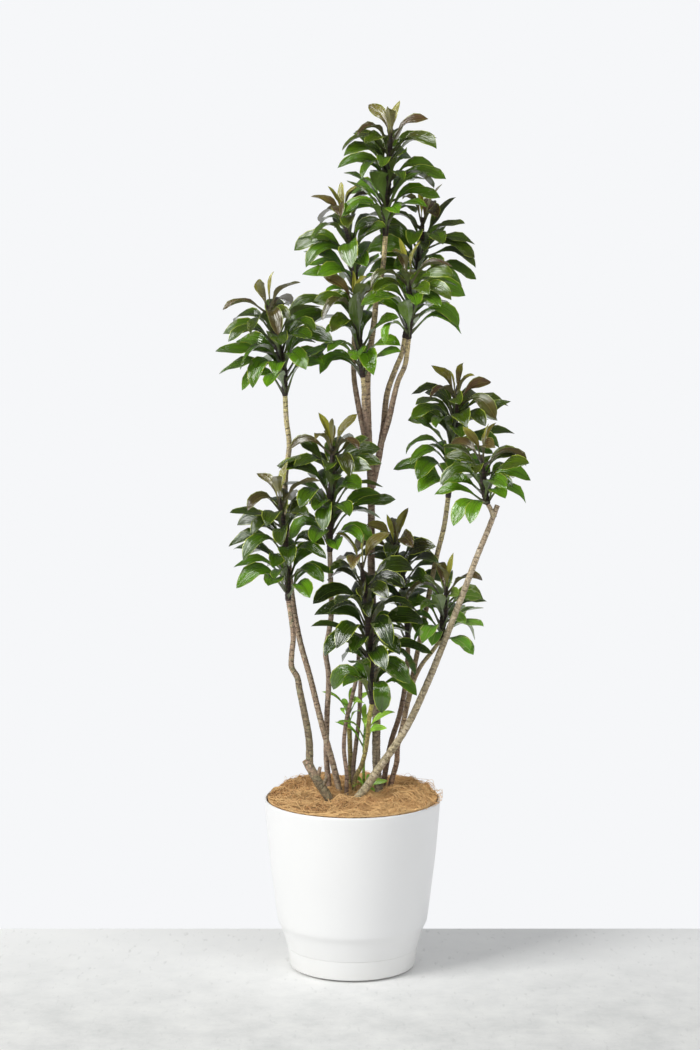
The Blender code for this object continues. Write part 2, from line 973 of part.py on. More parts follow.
def make_canes(where, cutters):
    """Every bare cane, its branches fused to it, and the hole that it stands in."""
    made = []
    for cane in CANES:
        hole_cutter(cane, cutters)
        rod = cane_rod(cane, where, material(f"bark_{cane.name}", cane.colour, 0.8))
        if cane.name == "cane_cut":
            union(rod, [cane_rod(CUT_BRANCH, where)])
        made.append(rod)
    hole_cutter(STUMP, cutters)
    stump = cane_rod(STUMP, where, material("bark_stump", STUMP.colour, 0.85))
    nubs = [
        tube(f"nub_{k}", ends, NUB_RADII, 6, where) for k, ends in enumerate(STUMP_NUBS)
    ]
    union(stump, [cane_rod(STUMP_SHOOT, where)] + nubs)
    hole_cutter(CANE_RIGHT, cutters)
    right = cane_rod(CANE_RIGHT, where, material("bark_right", CANE_RIGHT.colour, 0.8))
    union(right, [cane_rod(CANE_RIGHT_BRANCH, where)])
    hole_cutter(TRUNK, cutters)
    trunk = cane_rod(TRUNK, where, material("bark_trunk", TRUNK.colour, 0.8))
    union(trunk, [cane_rod(branch, where) for branch in TRUNK_BRANCHES])
    hole_cutter(SHOOT_STEM, cutters)
    low = (SHOOT_HOLE_RADIUS, SHOOT_HOLE_RADIUS)
    hole_cutter(Cane("shoot_low", SHOOTS[2][1], low, 8, ""), cutters)
    stem = cane_rod(SHOOT_STEM, where, material("green_stem", "#6f8a3a", 0.6))
    made += [stump, right, trunk, stem]
    for item in made:
        shade_round(item, 60)
    return made


def along(points, share):
    """The point and the direction at a share of the length of a line through points."""
    spots = [Vector(p) for p in points]
    lengths = [(b - a).length for a, b in zip(spots, spots[1:])]
    left = share * sum(lengths)
    for a, b, length in zip(spots, spots[1:], lengths):
        if left <= length or b is spots[-1]:
            return a.lerp(b, left / length), (b - a).normalized()
        left -= length


def blend(values, share):
    """A value that changes evenly through two or three given values."""
    if len(values) == 2:
        return values[0] + (values[1] - values[0]) * share
    if share < 0.5:
        return values[0] + (values[1] - values[0]) * share * 2
    return values[1] + (values[2] - values[1]) * (share * 2 - 1)


def half_width(share, length, width):
    """Half of a leaf's width: a narrow stalk that opens into a pointed oval blade."""
    full = 0.5 * length * width
    stalk = full * STALK_WIDTH
    if share <= STALK_END:
        return stalk
    u = (share - STALK_END) / (1 - STALK_END)
    blade = full * math.sin(math.pi * u**BLADE_SKEW) ** BLADE_FULLNESS
    return max(blade, stalk * (1 - u))


class LeafyStem:
    """The stem inside a head or a tuft: rings of small facets, and a leaf grows out of a facet."""

    def __init__(self, name, line, radii, rows, seat=None):
        self.name = name
        self.line = line
        self.rows = rows
        self.free = {(row, k) for row in range(rows - 1) for k in range(STEM_SIDES)}
        self.leaves = []
        self.rings = []
        for row in range(rows + 1):
            share = row / rows
            centre, up = along(line, share)
            if row == 0 and seat:
                centre, up = seat
            if row == 0:
                centre = centre + up * GAP
            radius = blend(radii, share)
            first = Vector((1, 0, 0)) - up * up.x
            first.normalize()
            second = up.cross(first)
            ring = []
            for k in range(STEM_SIDES):
                turn = math.tau * (k + row * RING_STAGGER) / STEM_SIDES
                ring.append(centre + (first * math.cos(turn) + second * math.sin(turn)) * radius)
            self.rings.append(ring)

    def facet(self, height, azimuth):
        """The free facet nearest to a height share and an azimuth."""
        row_wanted = height * self.rows - 0.5

        def distance(place):
            row, k = place
            middle = 360 * (k + 0.5 + (row + 0.5) * RING_STAGGER) / STEM_SIDES
            turn = (middle - azimuth + 180) % 360 - 180
            return abs(row - row_wanted) + abs(turn) / 45

        nearest = min(sorted(self.free), key=distance)
        self.free.discard(nearest)
        return nearest

    def corners(self, place):
        """A facet's corners: upper left, upper right, lower right, lower left, seen from its leaf."""
        row, k = place
        after = (k + 1) % STEM_SIDES
        low, high = self.rings[row], self.rings[row + 1]
        return [high[k], high[after], low[after], low[k]]

    def shell(self):
        """Points and faces of the stem alone."""
        points = [spot for ring in self.rings for spot in ring]
        faces = []
        for row in range(self.rows):
            for k in range(STEM_SIDES):
                after = (k + 1) % STEM_SIDES
                a = row * STEM_SIDES
                b = a + STEM_SIDES
                faces.append((a + k, a + after, b + after, b + k))
        faces.append(tuple(reversed(range(STEM_SIDES))))
        top = self.rows * STEM_SIDES
        faces.append(tuple(range(top, top + STEM_SIDES)))
        return points, faces

    def solid(self):
        """Points and faces of the stem with a leaf in place of each facet that carries one."""
        points, faces = self.shell()
        carried = {self.rows_first(place) for place, shape in self.leaves}
        faces = [face for k, face in enumerate(faces) if k not in carried]
        for place, (leaf_points, leaf_faces) in self.leaves:
            row, k = place
            after = (k + 1) % STEM_SIDES
            low = row * STEM_SIDES
            high = low + STEM_SIDES
            index = [high + k, high + after, low + after, low + k]
            index += range(len(points), len(points) + len(leaf_points) - 4)
            points += leaf_points[4:]
            faces += [tuple(index[n] for n in face) for face in leaf_faces]
        return points, faces

    def crosses_itself(self):
        """Whether the newest leaf cuts through another part of the same solid."""
        points, faces = self.solid()
        newest = len(faces) - len(self.leaves[-1][1][1])
        tree = BVHTree.FromPolygons(points, faces)
        leaf = BVHTree.FromPolygons(points, faces[newest:])
        for a, b in leaf.overlap(tree):
            if not set(faces[newest + a]) & set(faces[b]):
                return True
        return False

    def rows_first(self, place):
        """Where a facet stands in the list of the shell's faces."""
        return place[0] * STEM_SIDES + place[1]


def leaf_frames(root, up, leaf, sweep, twist, stations, width):
    """Place, side, upper normal and half width at each station along a leaf's midrib."""
    up = (up + Vector((0, 0, 1))).normalized()
    azimuth = math.radians(leaf.azimuth)
    out = Vector((math.cos(azimuth), math.sin(azimuth), 0.0))
    out = (out - up * out.dot(up)).normalized()
    across = up.cross(out)
    place = root.copy()
    light = Vector(LIGHT)
    droop = LIGHT_DROOP * max(0.0, out.dot(Vector((light.x, light.y, 0)).normalized()))
    frames = []
    wanted = list(stations)
    for k in range(PATH_STEPS + 1):
        share = k / PATH_STEPS
        part = min(1.0, max(0.0, (share - BEND_FROM) / (BEND_TO - BEND_FROM)))
        ease = part * part * (3 - 2 * part)
        angle = math.radians(leaf.lean + (leaf.bend + droop) * ease)
        turn = math.radians(sweep) * share
        heading = out * math.cos(turn) + across * math.sin(turn)
        ahead = up * math.cos(angle) + heading * math.sin(angle)
        if wanted and share >= wanted[0] - 0.5 / PATH_STEPS:
            side = up.cross(heading)
            normal = up * math.sin(angle) - heading * math.cos(angle)
            to_light = math.degrees(math.atan2(-light.dot(side), light.dot(normal)))
            to_light = max(-LIGHT_TURN_MAX, min(LIGHT_TURN_MAX, to_light * LIGHT_TURN))
            roll = math.radians(twist + to_light) * min(1.0, share / 0.6)
            turned_side = side * math.cos(roll) + normal * math.sin(roll)
            turned_normal = normal * math.cos(roll) - side * math.sin(roll)
            half = half_width(share, leaf.length, width)
            frames.append((place.copy(), turned_side, turned_normal, half, share))
            wanted.pop(0)
        place = place + ahead * (leaf.length / PATH_STEPS)
    return frames


def leaf_shape(corners, frames, extra=0.0, inset=0.0):
    """A leaf as points and triangles: out of its facet into a keeled stalk, then a folded blade."""
    middle = sum(corners, Vector()) / 4
    points = [corner.lerp(middle, inset) for corner in corners]
    rings = []
    for place, side, normal, half, share in frames[1:-1]:
        rise = half * (0.42 - 0.3 * share)
        reach = math.sqrt(half * half - rise * rise) + extra
        rib = RIB_HALF + STALK_RIB_EXTRA * max(0.0, 1 - share / 0.5) + extra
        ring = [place - side * reach + normal * rise, place + side * reach + normal * rise]
        if share > STALK_RINGS_END:
            ring.insert(1, place + normal * rib)
        ring.append(place - normal * rib)
        rings.append(list(range(len(points), len(points) + len(ring))))
        points += ring
    tip = len(points)
    points.append(frames[-1][0])
    faces = from_facet(rings[0])
    for near, far in zip(rings, rings[1:]):
        faces += between(near, far)
    last = rings[-1]
    faces += [(last[k], tip, last[(k + 1) % len(last)]) for k in range(len(last))]
    return points, faces


def from_facet(far):
    """Triangles from a facet's four corners to a leaf's first section."""
    left, right, keel = far[0], far[-2], far[-1]
    faces = [(1, right, 2), (2, right, keel), (2, keel, 3), (keel, left, 3), (3, left, 0)]
    if len(far) == 3:
        return faces + [(0, left, right), (0, right, 1)]
    return faces + [(0, left, far[1]), (0, far[1], 1), (1, far[1], right)]


def between(near, far):
    """Triangles between two sections of a leaf, split alike on its upper and under side."""
    left, right, keel = near[0], near[-2], near[-1]
    far_left, far_right, far_keel = far[0], far[-2], far[-1]
    faces = [
        (right, far_right, far_keel),
        (right, far_keel, keel),
        (far_keel, far_left, left),
        (keel, far_keel, left),
    ]
    if len(far) == 3:
        return faces + [(left, far_left, far_right), (left, far_right, right)]
    faces += [(left, far_left, far[1]), (right, far[1], far_right)]
    if len(near) == 3:
        return faces + [(left, far[1], right)]
    return faces + [(left, far[1], near[1]), (right, near[1], far[1])]


Placed = namedtuple("Placed", "node tree low high")


def as_obstacle(node, points, faces):
    """A shape of a node that later leaves stay clear of."""
    low = [min(p[k] for p in points) for k in range(3)]
    high = [max(p[k] for p in points) for k in range(3)]
    return Placed(node, BVHTree.FromPolygons(points, faces), low, high)


def touches(shape, others):
    """Whether a shape meets one of the shapes placed before."""
    for other in others:
        if any(shape.low[k] > other.high[k] or shape.high[k] < other.low[k] for k in range(3)):
            continue
        if shape.tree.overlap(other.tree):
            return True
    return False


class Bush:
    """The wood and all leaves placed so far, so that each new leaf stays clear of them."""

    def __init__(self, wood):
        self.wood = wood
        self.blades = []
        self.dropped = 0

    def grow(self, stem, leaf, stations, width, draw, wander=1.0):
        """Try a leaf as wanted, then turned, raised or shortened, until it is clear."""
        place = stem.facet(leaf.height, leaf.azimuth)
        corners = stem.corners(place)
        root = sum(corners, Vector()) / 4
        up = along(stem.line, leaf.height)[1]
        sweep = draw.uniform(-SWEEP, SWEEP) * wander
        twist = draw.uniform(-TWIST, TWIST) * wander
        for attempt in range(TRIES):
            loose = attempt / TRIES
            trial = leaf._replace(
                azimuth=leaf.azimuth + draw.uniform(-44, 44) * loose,
                lean=leaf.lean + draw.uniform(-12, 24) * loose,
                bend=leaf.bend + draw.uniform(-40, 30) * loose,
                length=leaf.length * (1 - 0.3 * loose),
            )
            frames = leaf_frames(root, up, trial, sweep * (1 - loose), twist, stations, width)
            shape = as_obstacle(stem.name, *leaf_shape(corners, frames, CLEARANCE, ROOT_INSET))
            wood = [w for w in self.wood if w.node != stem.name]
            if touches(shape, wood + self.blades):
                continue
            stem.leaves.append((place, leaf_shape(corners, frames)))
            if not stem.crosses_itself():
                self.blades.append(shape)
                return
            stem.leaves.pop()
        self.dropped += 1


def rod_obstacle(node, item):
    """An existing rod as a shape that leaves stay clear of, in millimetres."""
    points = [v.co / MM for v in item.data.vertices]
    faces = [tuple(f.vertices) for f in item.data.polygons]
    return as_obstacle(node, points, faces)


def seat_under(line, canes):
    """The cane end that carries a leafy stem: its middle and the way it points."""
    foot = Vector(line[0])
    nearest = min(canes, key=lambda cane: (Vector(cane.route[-1]) - foot).length)
    end = Vector(nearest.route[-1])
    return end, (end - Vector(nearest.route[-2])).normalized()


def young_line(head):
    """The short stem of a head's tuft of young leaves, just above the head's own stem."""
    top, up = along(head.stem, 1.0)
    return [top, top + up * YOUNG_STEM]


def grow_young(head, stem, bush, draw):
    """The tuft of young leaves at a head's tip: short, narrow and nearly upright."""
    for k in range(head.young):
        share = k / max(head.young - 1, 1)
        leaf = Leaf(
            0.15 + 0.7 * share,
            head.seed * 40 + k * GOLDEN_ANGLE,
            blend(YOUNG_LENGTHS, share) + draw.uniform(-6, 6),
            head.young_lean * (1 - 0.7 * share) + YOUNG_SPREAD * (1 - share) ** 1.2,
            blend(YOUNG_BENDS, share),
        )
        bush.grow(stem, leaf, YOUNG_STATIONS, YOUNG_WIDTH, draw)


def grow_spiral(head, stem, bush, draw):
    """A head's leaves in the spiral that the plant grows them in."""
    for k in range(head.count):
        share = k / (head.count - 1)
        leaf = Leaf(
            LOWEST_LEAF + (HIGHEST_LEAF - LOWEST_LEAF) * share,
            head.seed * 57 + k * GOLDEN_ANGLE + draw.uniform(-14, 14),
            blend(head.lengths, share) * draw.uniform(0.88, 1.06),
            blend(head.leans, share) + draw.uniform(-8, 12),
            blend(head.bends, share) + draw.uniform(-26, 20),
        )
        stations = INNER_STATIONS if share > INNER_FROM else LEAF_STATIONS
        bush.grow(stem, leaf, stations, LEAF_WIDTH, draw)


def leafy_object(stem, colour, roughness, where):
    """A leafy stem as one solid."""
    points, faces = stem.solid()
    mesh = bpy.data.meshes.new(stem.name)
    mesh.from_pydata([p * MM for p in points], [], faces)
    made = add_object(stem.name, mesh, where, material(f"finish_{stem.name}", colour, roughness))
    shade_round(made, 40)
    return made


def make_leaves(where, canes, mat):
    """Heads and shoots: a leafy stem of green leaves each, with a tuft of young ones on a head."""
    bush = Bush([rod_obstacle("wood", item) for item in canes + [mat]])
    greens = {}
    tufts = {}
    for head in HEADS:
        rows = round((head.count + len(head.own)) * ROWS_PER_LEAF)
        green = f"{head.name}_leaves"
        seat = seat_under(head.stem, CARRIERS)
        greens[head.name] = LeafyStem(green, head.stem, HEAD_STEM_RADII, rows, seat)
        young = f"{head.name}_young"
        line = young_line(head)
        tufts[head.name] = LeafyStem(young, line, YOUNG_STEM_RADII, YOUNG_STEM_ROWS)
    shoots = {
        name: LeafyStem(name, stem, SHOOT_STEM_RADII, round(count * SHOOT_ROWS_PER_LEAF))
        for name, stem, count, length, lean, seed in SHOOTS
    }
    stems = list(greens.values()) + list(tufts.values()) + list(shoots.values())
    bush.wood += [as_obstacle(stem.name, *stem.shell()) for stem in stems]
    draws = {head.name: random.Random(head.seed) for head in HEADS}
    for head in HEADS:
        grow_young(head, tufts[head.name], bush, draws[head.name])
    for head in HEADS:
        stem, draw = greens[head.name], draws[head.name]
        for leaf in head.own:
            bush.grow(stem, leaf, LEAF_STATIONS, LEAF_WIDTH, draw, OWN_WANDER)
    for head in HEADS:
        grow_spiral(head, greens[head.name], bush, draws[head.name])
    for name, line, count, length, lean, seed in SHOOTS:
        draw = random.Random(seed)
        lowest = SHOOT_LOWEST[name]
        for k in range(count):
            height = lowest + (0.95 - lowest) * k / (count - 1)
            leaf = Leaf(height, seed * 57 + k * GOLDEN_ANGLE, length, lean, SHOOT_BEND)
            bush.grow(shoots[name], leaf, SHOOT_STATIONS, SHOOT_WIDTH, draw)
    for head in HEADS:
        leafy_object(greens[head.name], "#27401c", 0.35, where)
        leafy_object(tufts[head.name], "#5d4030", 0.4, where)
    for stem in shoots.values():
        leafy_object(stem, "#5f8f2a", 0.4, where)
    print("leaves left out for want of room:", bush.dropped)


def main():
    empty_scene()
    plant = collection("potted_purple_compacta_dracaena")
    cutters = collection("cutters")
    canes = make_canes(plant, cutters)
    make_pot(plant, cutters)
    make_saucer(plant)
    make_soil(plant, cutters)
    mat = make_mat(plant, cutters)
    make_leaves(plant, canes, mat)


main()
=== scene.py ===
"""Looks of a purple compacta dracaena, about 1.6 m tall, that grows in a white two-tier pot.

The file follows the plant as it is put together: saucer, pot, soil, fibre mat, canes, heads of
leaves, shoots, and last the room and the light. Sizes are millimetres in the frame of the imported
part, with z up and the plant's front towards -Y. MM turns them to metres. What a material draws is
in metres, because its object coordinates are.
"""

import math
import random
from collections import namedtuple
from functools import partial

import bpy
import numpy as np
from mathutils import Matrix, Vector, noise
from mathutils.kdtree import KDTree


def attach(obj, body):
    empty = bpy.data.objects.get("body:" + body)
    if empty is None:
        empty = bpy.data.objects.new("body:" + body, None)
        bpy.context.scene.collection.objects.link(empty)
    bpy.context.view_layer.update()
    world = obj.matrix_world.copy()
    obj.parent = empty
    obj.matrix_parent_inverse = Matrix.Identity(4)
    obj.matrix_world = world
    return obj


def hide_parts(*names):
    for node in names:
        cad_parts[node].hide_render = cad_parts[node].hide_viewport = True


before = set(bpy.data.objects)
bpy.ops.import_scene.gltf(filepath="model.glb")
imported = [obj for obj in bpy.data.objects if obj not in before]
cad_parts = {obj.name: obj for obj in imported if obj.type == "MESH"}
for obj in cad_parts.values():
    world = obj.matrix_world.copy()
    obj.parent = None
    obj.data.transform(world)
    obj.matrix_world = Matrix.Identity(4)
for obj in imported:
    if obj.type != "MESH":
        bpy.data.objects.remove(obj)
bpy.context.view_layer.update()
bpy.ops.object.select_all(action="DESELECT")
MM = 0.001

# Saucer. The lowest tier: a shallow cup moulded in white polypropylene, on which the foot of the
# pot stands. Its edge is rounded off, and a low foot ring leaves a thin dark gap over the floor.
SAUCER_OUTLINE = (
    (20, 4.0), (108, 4.0), (112.4, 5.2), (116.4, 20), (119.0, 39.4), (119.4, 40.3), (122.6, 40.35),
    (123.0, 40.1), (122.8, 38.6), (120.2, 20), (118.2, 6.0), (117.8, 5.0), (116.9, 4.2),
    (115.0, 4.0), (100.6, 4.0), (100.0, 0.0), (20, 0.0),
)  # radius, height
ROUND_SIDES = 144
ROUND_ANGLE = 50  # edges flatter than this are shaded smooth


def turned(name, outline, sides=ROUND_SIDES):
    """A turned solid: a circle is extruded from one (radius, height) to the next, ends filled."""
    radius, height = outline[0]
    bpy.ops.mesh.primitive_circle_add(
        vertices=sides, radius=radius * MM, location=(0, 0, height * MM), fill_type="NGON"
    )
    made = bpy.context.object
    made.name = made.data.name = name
    bpy.ops.object.mode_set(mode="EDIT")
    for (near, low), (far, high) in zip(outline, outline[1:]):
        rise = (0, 0, (high - low) * MM)
        bpy.ops.mesh.extrude_region_move(TRANSFORM_OT_translate={"value": rise})
        bpy.ops.transform.resize(value=(far / near, far / near, 1))
    bpy.ops.mesh.select_all(action="SELECT")
    bpy.ops.mesh.normals_make_consistent(inside=False)
    bpy.ops.object.mode_set(mode="OBJECT")
    bpy.ops.object.transform_apply(location=True, rotation=True, scale=True)
    bpy.ops.object.shade_smooth_by_angle(angle=math.radians(ROUND_ANGLE))
    return made


def linear(code):
    """An sRGB hex colour as linear RGBA."""
    parts = [int(code[k : k + 2], 16) / 255 for k in (1, 3, 5)]
    return [c / 12.92 if c <= 0.04045 else ((c + 0.055) / 1.055) ** 2.4 for c in parts] + [1.0]


USED_OUTPUT = {"TexCoord": "Object", "Attribute": "Fac", "Mix": 2}  # of these kinds, else the first


def add_node(tree, kind, inputs=(), stops=(), **settings):
    """Add a shader node and give back the output that is used of it. Inputs, by name or in order,
    are linked when a socket is given and set otherwise, hex codes as colours."""
    made = tree.nodes.new("ShaderNode" + kind)
    for key, value in settings.items():
        setattr(made, key, value)
    for key, value in inputs.items() if isinstance(inputs, dict) else enumerate(inputs):
        if isinstance(value, bpy.types.NodeSocket):
            tree.links.new(value, made.inputs[key])
        else:
            made.inputs[key].default_value = linear(value) if isinstance(value, str) else value
    for k, (place, colour) in enumerate(stops):
        ramp = made.color_ramp.elements
        stop = ramp[k] if k < len(ramp) else ramp.new(place)
        stop.position = place
        stop.color = linear(colour)
    return made.outputs[USED_OUTPUT.get(kind, 0)] if made.outputs else made


def blank_material(name):
    """An empty node material, and the function that adds nodes to it."""
    made = bpy.data.materials.new(name)
    made.use_nodes = True
    made.node_tree.nodes.clear()
    return made, partial(add_node, made.node_tree)


def polypropylene(name, colour, low_grey):
    """Moulded polypropylene, satin. A faint broad unevenness in gloss and a fine mould grain keep
    the white wall from looking flat, and in clouds it is drawn a little greyer towards the floor."""
    made, node = blank_material(name)
    spot = node("TexCoord")
    cloud = node("TexNoise", {"Vector": spot, "Scale": 9.0, "Detail": 3.0})
    # Mould grain is about 0.2 mm, drawn at 1.2 mm so that it shows as a slight break in the gloss.
    grain = node("TexNoise", {"Vector": spot, "Scale": 830.0, "Detail": 1.0})
    height = node("SeparateXYZ", [spot]).node.outputs["Z"]
    low = node("MapRange", [height, 0.0, 0.09, 1.0, 0.0])
    # In clouds, drawn greyer towards the floor, up to 90 mm high.
    low_greying = node("Math", [low, cloud], operation="MULTIPLY")
    paint = node("Mix", {0: low_greying, 6: colour, 7: low_grey}, data_type="RGBA")
    gloss = node("MapRange", [cloud, 0.3, 0.7, 0.34, 0.44])
    relief = node("Bump", {"Height": grain, "Strength": 0.06, "Distance": 0.0004})
    surface = {"Base Color": paint, "Roughness": gloss, "Normal": relief, "IOR": 1.49}
    node("OutputMaterial", [node("BsdfPrincipled", surface)])
    return made


def placed(piece, finish, slot, *nodes):
    """Give a piece its material, let it ride on the plant and stand for its nodes."""
    if finish:
        piece.data.materials.clear()
        piece.data.materials.append(finish)
    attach(piece, "root")
    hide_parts(*nodes)


white_saucer = polypropylene("polypropylene_saucer", "#e6e6e6", "#d8d7d3")
placed(turned("saucer_cup", SAUCER_OUTLINE), white_saucer, "white_plastic", "saucer")

# Pot. One thin-walled polypropylene moulding that widens upwards from a soft shoulder, with a small
# rounded lip. Its foot drops into the saucer, and its floor has four drain holes.
POT_OUTLINE = (
    (20, 8.3), (96, 8.3), (100.5, 9.4), (102, 12), (105, 46), (128.0, 73), (132.0, 81), (135.2, 88),
    (138.8, 104), (144.6, 150), (149.2, 190), (153.5, 226), (157.4, 275), (160.4, 318),
    (160.9, 321), (161.4, 322.7), (162.4, 323.4), (163.5, 323.1), (164.5, 322.0), (164.95, 320.0),
    (164.7, 316.5), (163.0, 296), (160.3, 261), (157.5, 226), (153.0, 187), (148.2, 148),
    (144.6, 118), (142.6, 103), (141.6, 96), (140.8, 91.5), (139.6, 88), (138.0, 84.8),
    (136.2, 81.5), (134.6, 78), (133.1, 74), (131.8, 70), (130.2, 65), (128.5, 59), (123.7, 42.2),
    (123.3, 40.9), (122.8, 40.42), (110, 40.42), (107.5, 39), (106, 10), (105.2, 5.6), (103, 4.3),
    (20, 4.3),
)
DRAIN_HOLES = 4
DRAIN_RADIUS = 7.0
DRAIN_SIDES = 32
DRAIN_CIRCLE = 62.0
DRAIN_DEPTH = 20.0
POT_FLOOR = 6.0

pot = turned("pot_shell", POT_OUTLINE)
for hole in range(DRAIN_HOLES):
    bearing = math.tau * hole / DRAIN_HOLES
    x, y = DRAIN_CIRCLE * MM * math.cos(bearing), DRAIN_CIRCLE * MM * math.sin(bearing)
    bpy.ops.mesh.primitive_cylinder_add(
        vertices=DRAIN_SIDES,
        radius=DRAIN_RADIUS * MM,
        depth=DRAIN_DEPTH * MM,
        location=(x, y, POT_FLOOR * MM),
    )
    drill = bpy.context.object
    bore = pot.modifiers.new("drain", "BOOLEAN")
    bore.operation = "DIFFERENCE"
    bore.solver = "EXACT"
    bore.object = drill
    bpy.context.view_layer.objects.active = pot
    bpy.ops.object.modifier_apply(modifier=bore.name)
    bpy.data.objects.remove(drill, do_unlink=True)
white_pot = polypropylene("polypropylene_pot", "#e6e6e6", "#dad9d6")
placed(pot, white_pot, "white_plastic", "pot")

# Soil. Moist potting compost under the mat, hardly ever seen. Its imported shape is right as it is,
# so it stays and only gets its finish: crumbs of bark and peat with light specks of grit.


def potting_soil():
    """Dark crumbly compost: 4 mm crumbs in two browns, pale grit specks, deep rough relief."""
    made, node = blank_material("potting_soil_moist")
    spot = node("TexCoord")
    crumb = node("TexVoronoi", {"Vector": spot, "Scale": 250.0})
    browns = ((0.0, "#4a3626"), (0.5, "#2c1f16"), (1.0, "#1b130e"))
    brown = node("ValToRGB", [crumb], browns)
    speck = node("TexNoise", {"Vector": spot, "Scale": 500.0, "Detail": 2.0})
    grit = node("MapRange", [speck, 0.68, 0.72])
    paint = node("Mix", {0: grit, 6: brown, 7: "#a39a86"}, data_type="RGBA")
    relief = node("Bump", {"Height": crumb, "Strength": 0.9, "Distance": 0.003})
    surface = {"Base Color": paint, "Roughness": 0.93, "Normal": relief}
    node("OutputMaterial", [node("BsdfPrincipled", surface)])
    return made


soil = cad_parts["soil"]
for place in soil.material_slots:
    place.material = potting_soil()

# Fibre mat. Loose curled coconut fibre pressed over the soil into a lumpy crown that is higher at
# the back, with single fibres that lie in arcs over it and stray past the rim.
MAT_REACH = 159.3
MAT_EDGE_TOP = 314.0
MAT_CROWN_TOP = 326.0
MAT_LUMP = 3.0
MAT_TILT = 12.0
MAT_TILT_TOWARDS = 75.0
MAT_FOOT = (157.0, 285.0)
MAT_RINGS = 34
MAT_SIDES = 120
TUFT_SIZE = 33.0  # of the lumps that the fibre bunches into
TUFT_HEIGHT = 12.0
EDGE_DROP = 4.0  # over the outermost part of the mat
EDGE_FROM, EDGE_BREADTH = 0.93, 0.07


def mat_top(x, y):
    """Height of the fibre mat's surface at a place."""
    share = min(math.hypot(x, y) / MAT_REACH, 1.0)
    turn = math.atan2(y, x)
    crown = MAT_EDGE_TOP + (MAT_CROWN_TOP - MAT_EDGE_TOP) * (1 - share**2.4)
    crown += MAT_TILT * share**2 * (0.5 + 0.5 * math.cos(turn - math.radians(MAT_TILT_TOWARDS)))
    lump = math.sin(3 * turn + 1.1) + math.sin(5 * turn + 4 * share) + math.sin(2 * turn - 2.0)
    tuft = noise.noise(Vector((x, y, 3.0)) / TUFT_SIZE)
    tuft += 0.5 * noise.noise(Vector((x, y, 9.0)) / (TUFT_SIZE * 0.4))
    edge = EDGE_DROP * max(0.0, share - EDGE_FROM) / EDGE_BREADTH
    return crown + MAT_LUMP * 0.4 * share * lump + TUFT_HEIGHT * tuft - edge


def coconut_fibre(name, dark, light):
    """Coir: dry curled husk fibre, straw on the top strands and deep brown in the gaps between them,
    which is painted shade, and single strands painted paler the higher they lie, which is painted
    light, with a random share. Stretched noise in three directions draws the strands, about 0.3 mm
    thick and drawn at 1.5 mm to show."""
    made, node = blank_material(name)
    spot = node("TexCoord")
    layers = []
    for turn in (0.35, 1.4, 2.5):
        stretch = {"Vector": spot, "Rotation": (0, 0, turn), "Scale": (1.0, 0.09, 0.5)}
        fibre = {"Vector": node("Mapping", stretch), "Scale": 560.0, "Detail": 3.0}
        layers.append(node("TexNoise", {**fibre, "Distortion": 0.7}))
    upper = node("Math", layers[:2], operation="MAXIMUM")
    strand = node("Math", [upper, layers[2]], operation="MAXIMUM")
    patch = node("TexNoise", {"Vector": spot, "Scale": 34.0, "Detail": 2.0})
    # Painted shade: the gaps between the drawn strands take the dark brown, the top strands the
    # light one.
    depth = node("MapRange", [strand, 0.48, 0.76])
    paint = node("Mix", {0: depth, 6: dark, 7: light}, data_type="RGBA")
    tint = {0: patch, 6: "#ffffff", 7: "#cda57c"}
    shade = node("Mix", tint, data_type="RGBA", blend_type="MULTIPLY")
    # Painted light: the pale attribute lightens strands that lie high on the mat, with a random
    # share.
    pale = node("Attribute", attribute_name="pale")
    single = node("Mix", {0: pale, 6: paint, 7: "#f2cf92"}, data_type="RGBA")
    tone = node("Mix", {0: 0.7, 6: single, 7: shade}, data_type="RGBA", blend_type="MULTIPLY")
    relief = node("Bump", {"Height": strand, "Strength": 1.0, "Distance": 0.003})
    surface = {"Base Color": tone, "Roughness": 0.85, "Normal": relief, "Sheen Weight": 0.15}
    node("OutputMaterial", [node("BsdfPrincipled", surface)])
    return made


def fitted(piece, points):
    """Move the vertices of a mesh, in their order, to places in millimetres."""
    flat = np.asarray(points, dtype=np.float32).reshape(-1) * MM
    piece.data.vertices.foreach_set("co", flat)
    piece.data.update()


def set_values(piece, name, values, domain="POINT"):
    """Write one number per vertex or face as a named attribute."""
    layer = piece.data.attributes.new(name, "FLOAT", domain)
    layer.data.foreach_set("value", np.asarray(values, dtype=np.float32))


outline = [(8, MAT_CROWN_TOP)]
outline += [(MAT_REACH * k / MAT_RINGS, MAT_EDGE_TOP) for k in range(2, MAT_RINGS + 1)]
outline += [(158.6, 305), MAT_FOOT, (20, MAT_FOOT[1])]
mat = turned("coir_bed", outline, MAT_SIDES)
spots = [v.co / MM for v in mat.data.vertices]
fitted(mat, [(p.x, p.y, mat_top(p.x, p.y) if p.z > MAT_EDGE_TOP - 1 else p.z) for p in spots])

# The strands: one three-sided rod of seven lengths, repeated and then laid out one by one.
STRANDS = 3000
STRAND_RINGS = 7
LOCK = 7  # strands that lie together in a lock
LOCK_REACH = 0.96  # of the mat's, how far out a lock lies at most
LOCK_CURL = 3.4  # in radians, over the length of a strand
LOCK_PILE = 3.2  # how high a lock lies on the others at most
STRAND_WANDER = 0.55  # how far a strand's heading strays from its lock's, in radians
STRAND_SHIFT = 7  # and its place
STRAND_LENGTH = (50, 150)
STRAND_RADIUS = (0.3, 0.8)  # real coir is about 0.15, drawn thicker so that it shows
STRAY_SHARE = 0.08
RIM_SHARE = 0.08  # strands that lie along the pot's wall and close the gap there
STRAY_REACH = 169.0
RIM_TOP = 324.6  # a strand that strays lies over the pot's rim


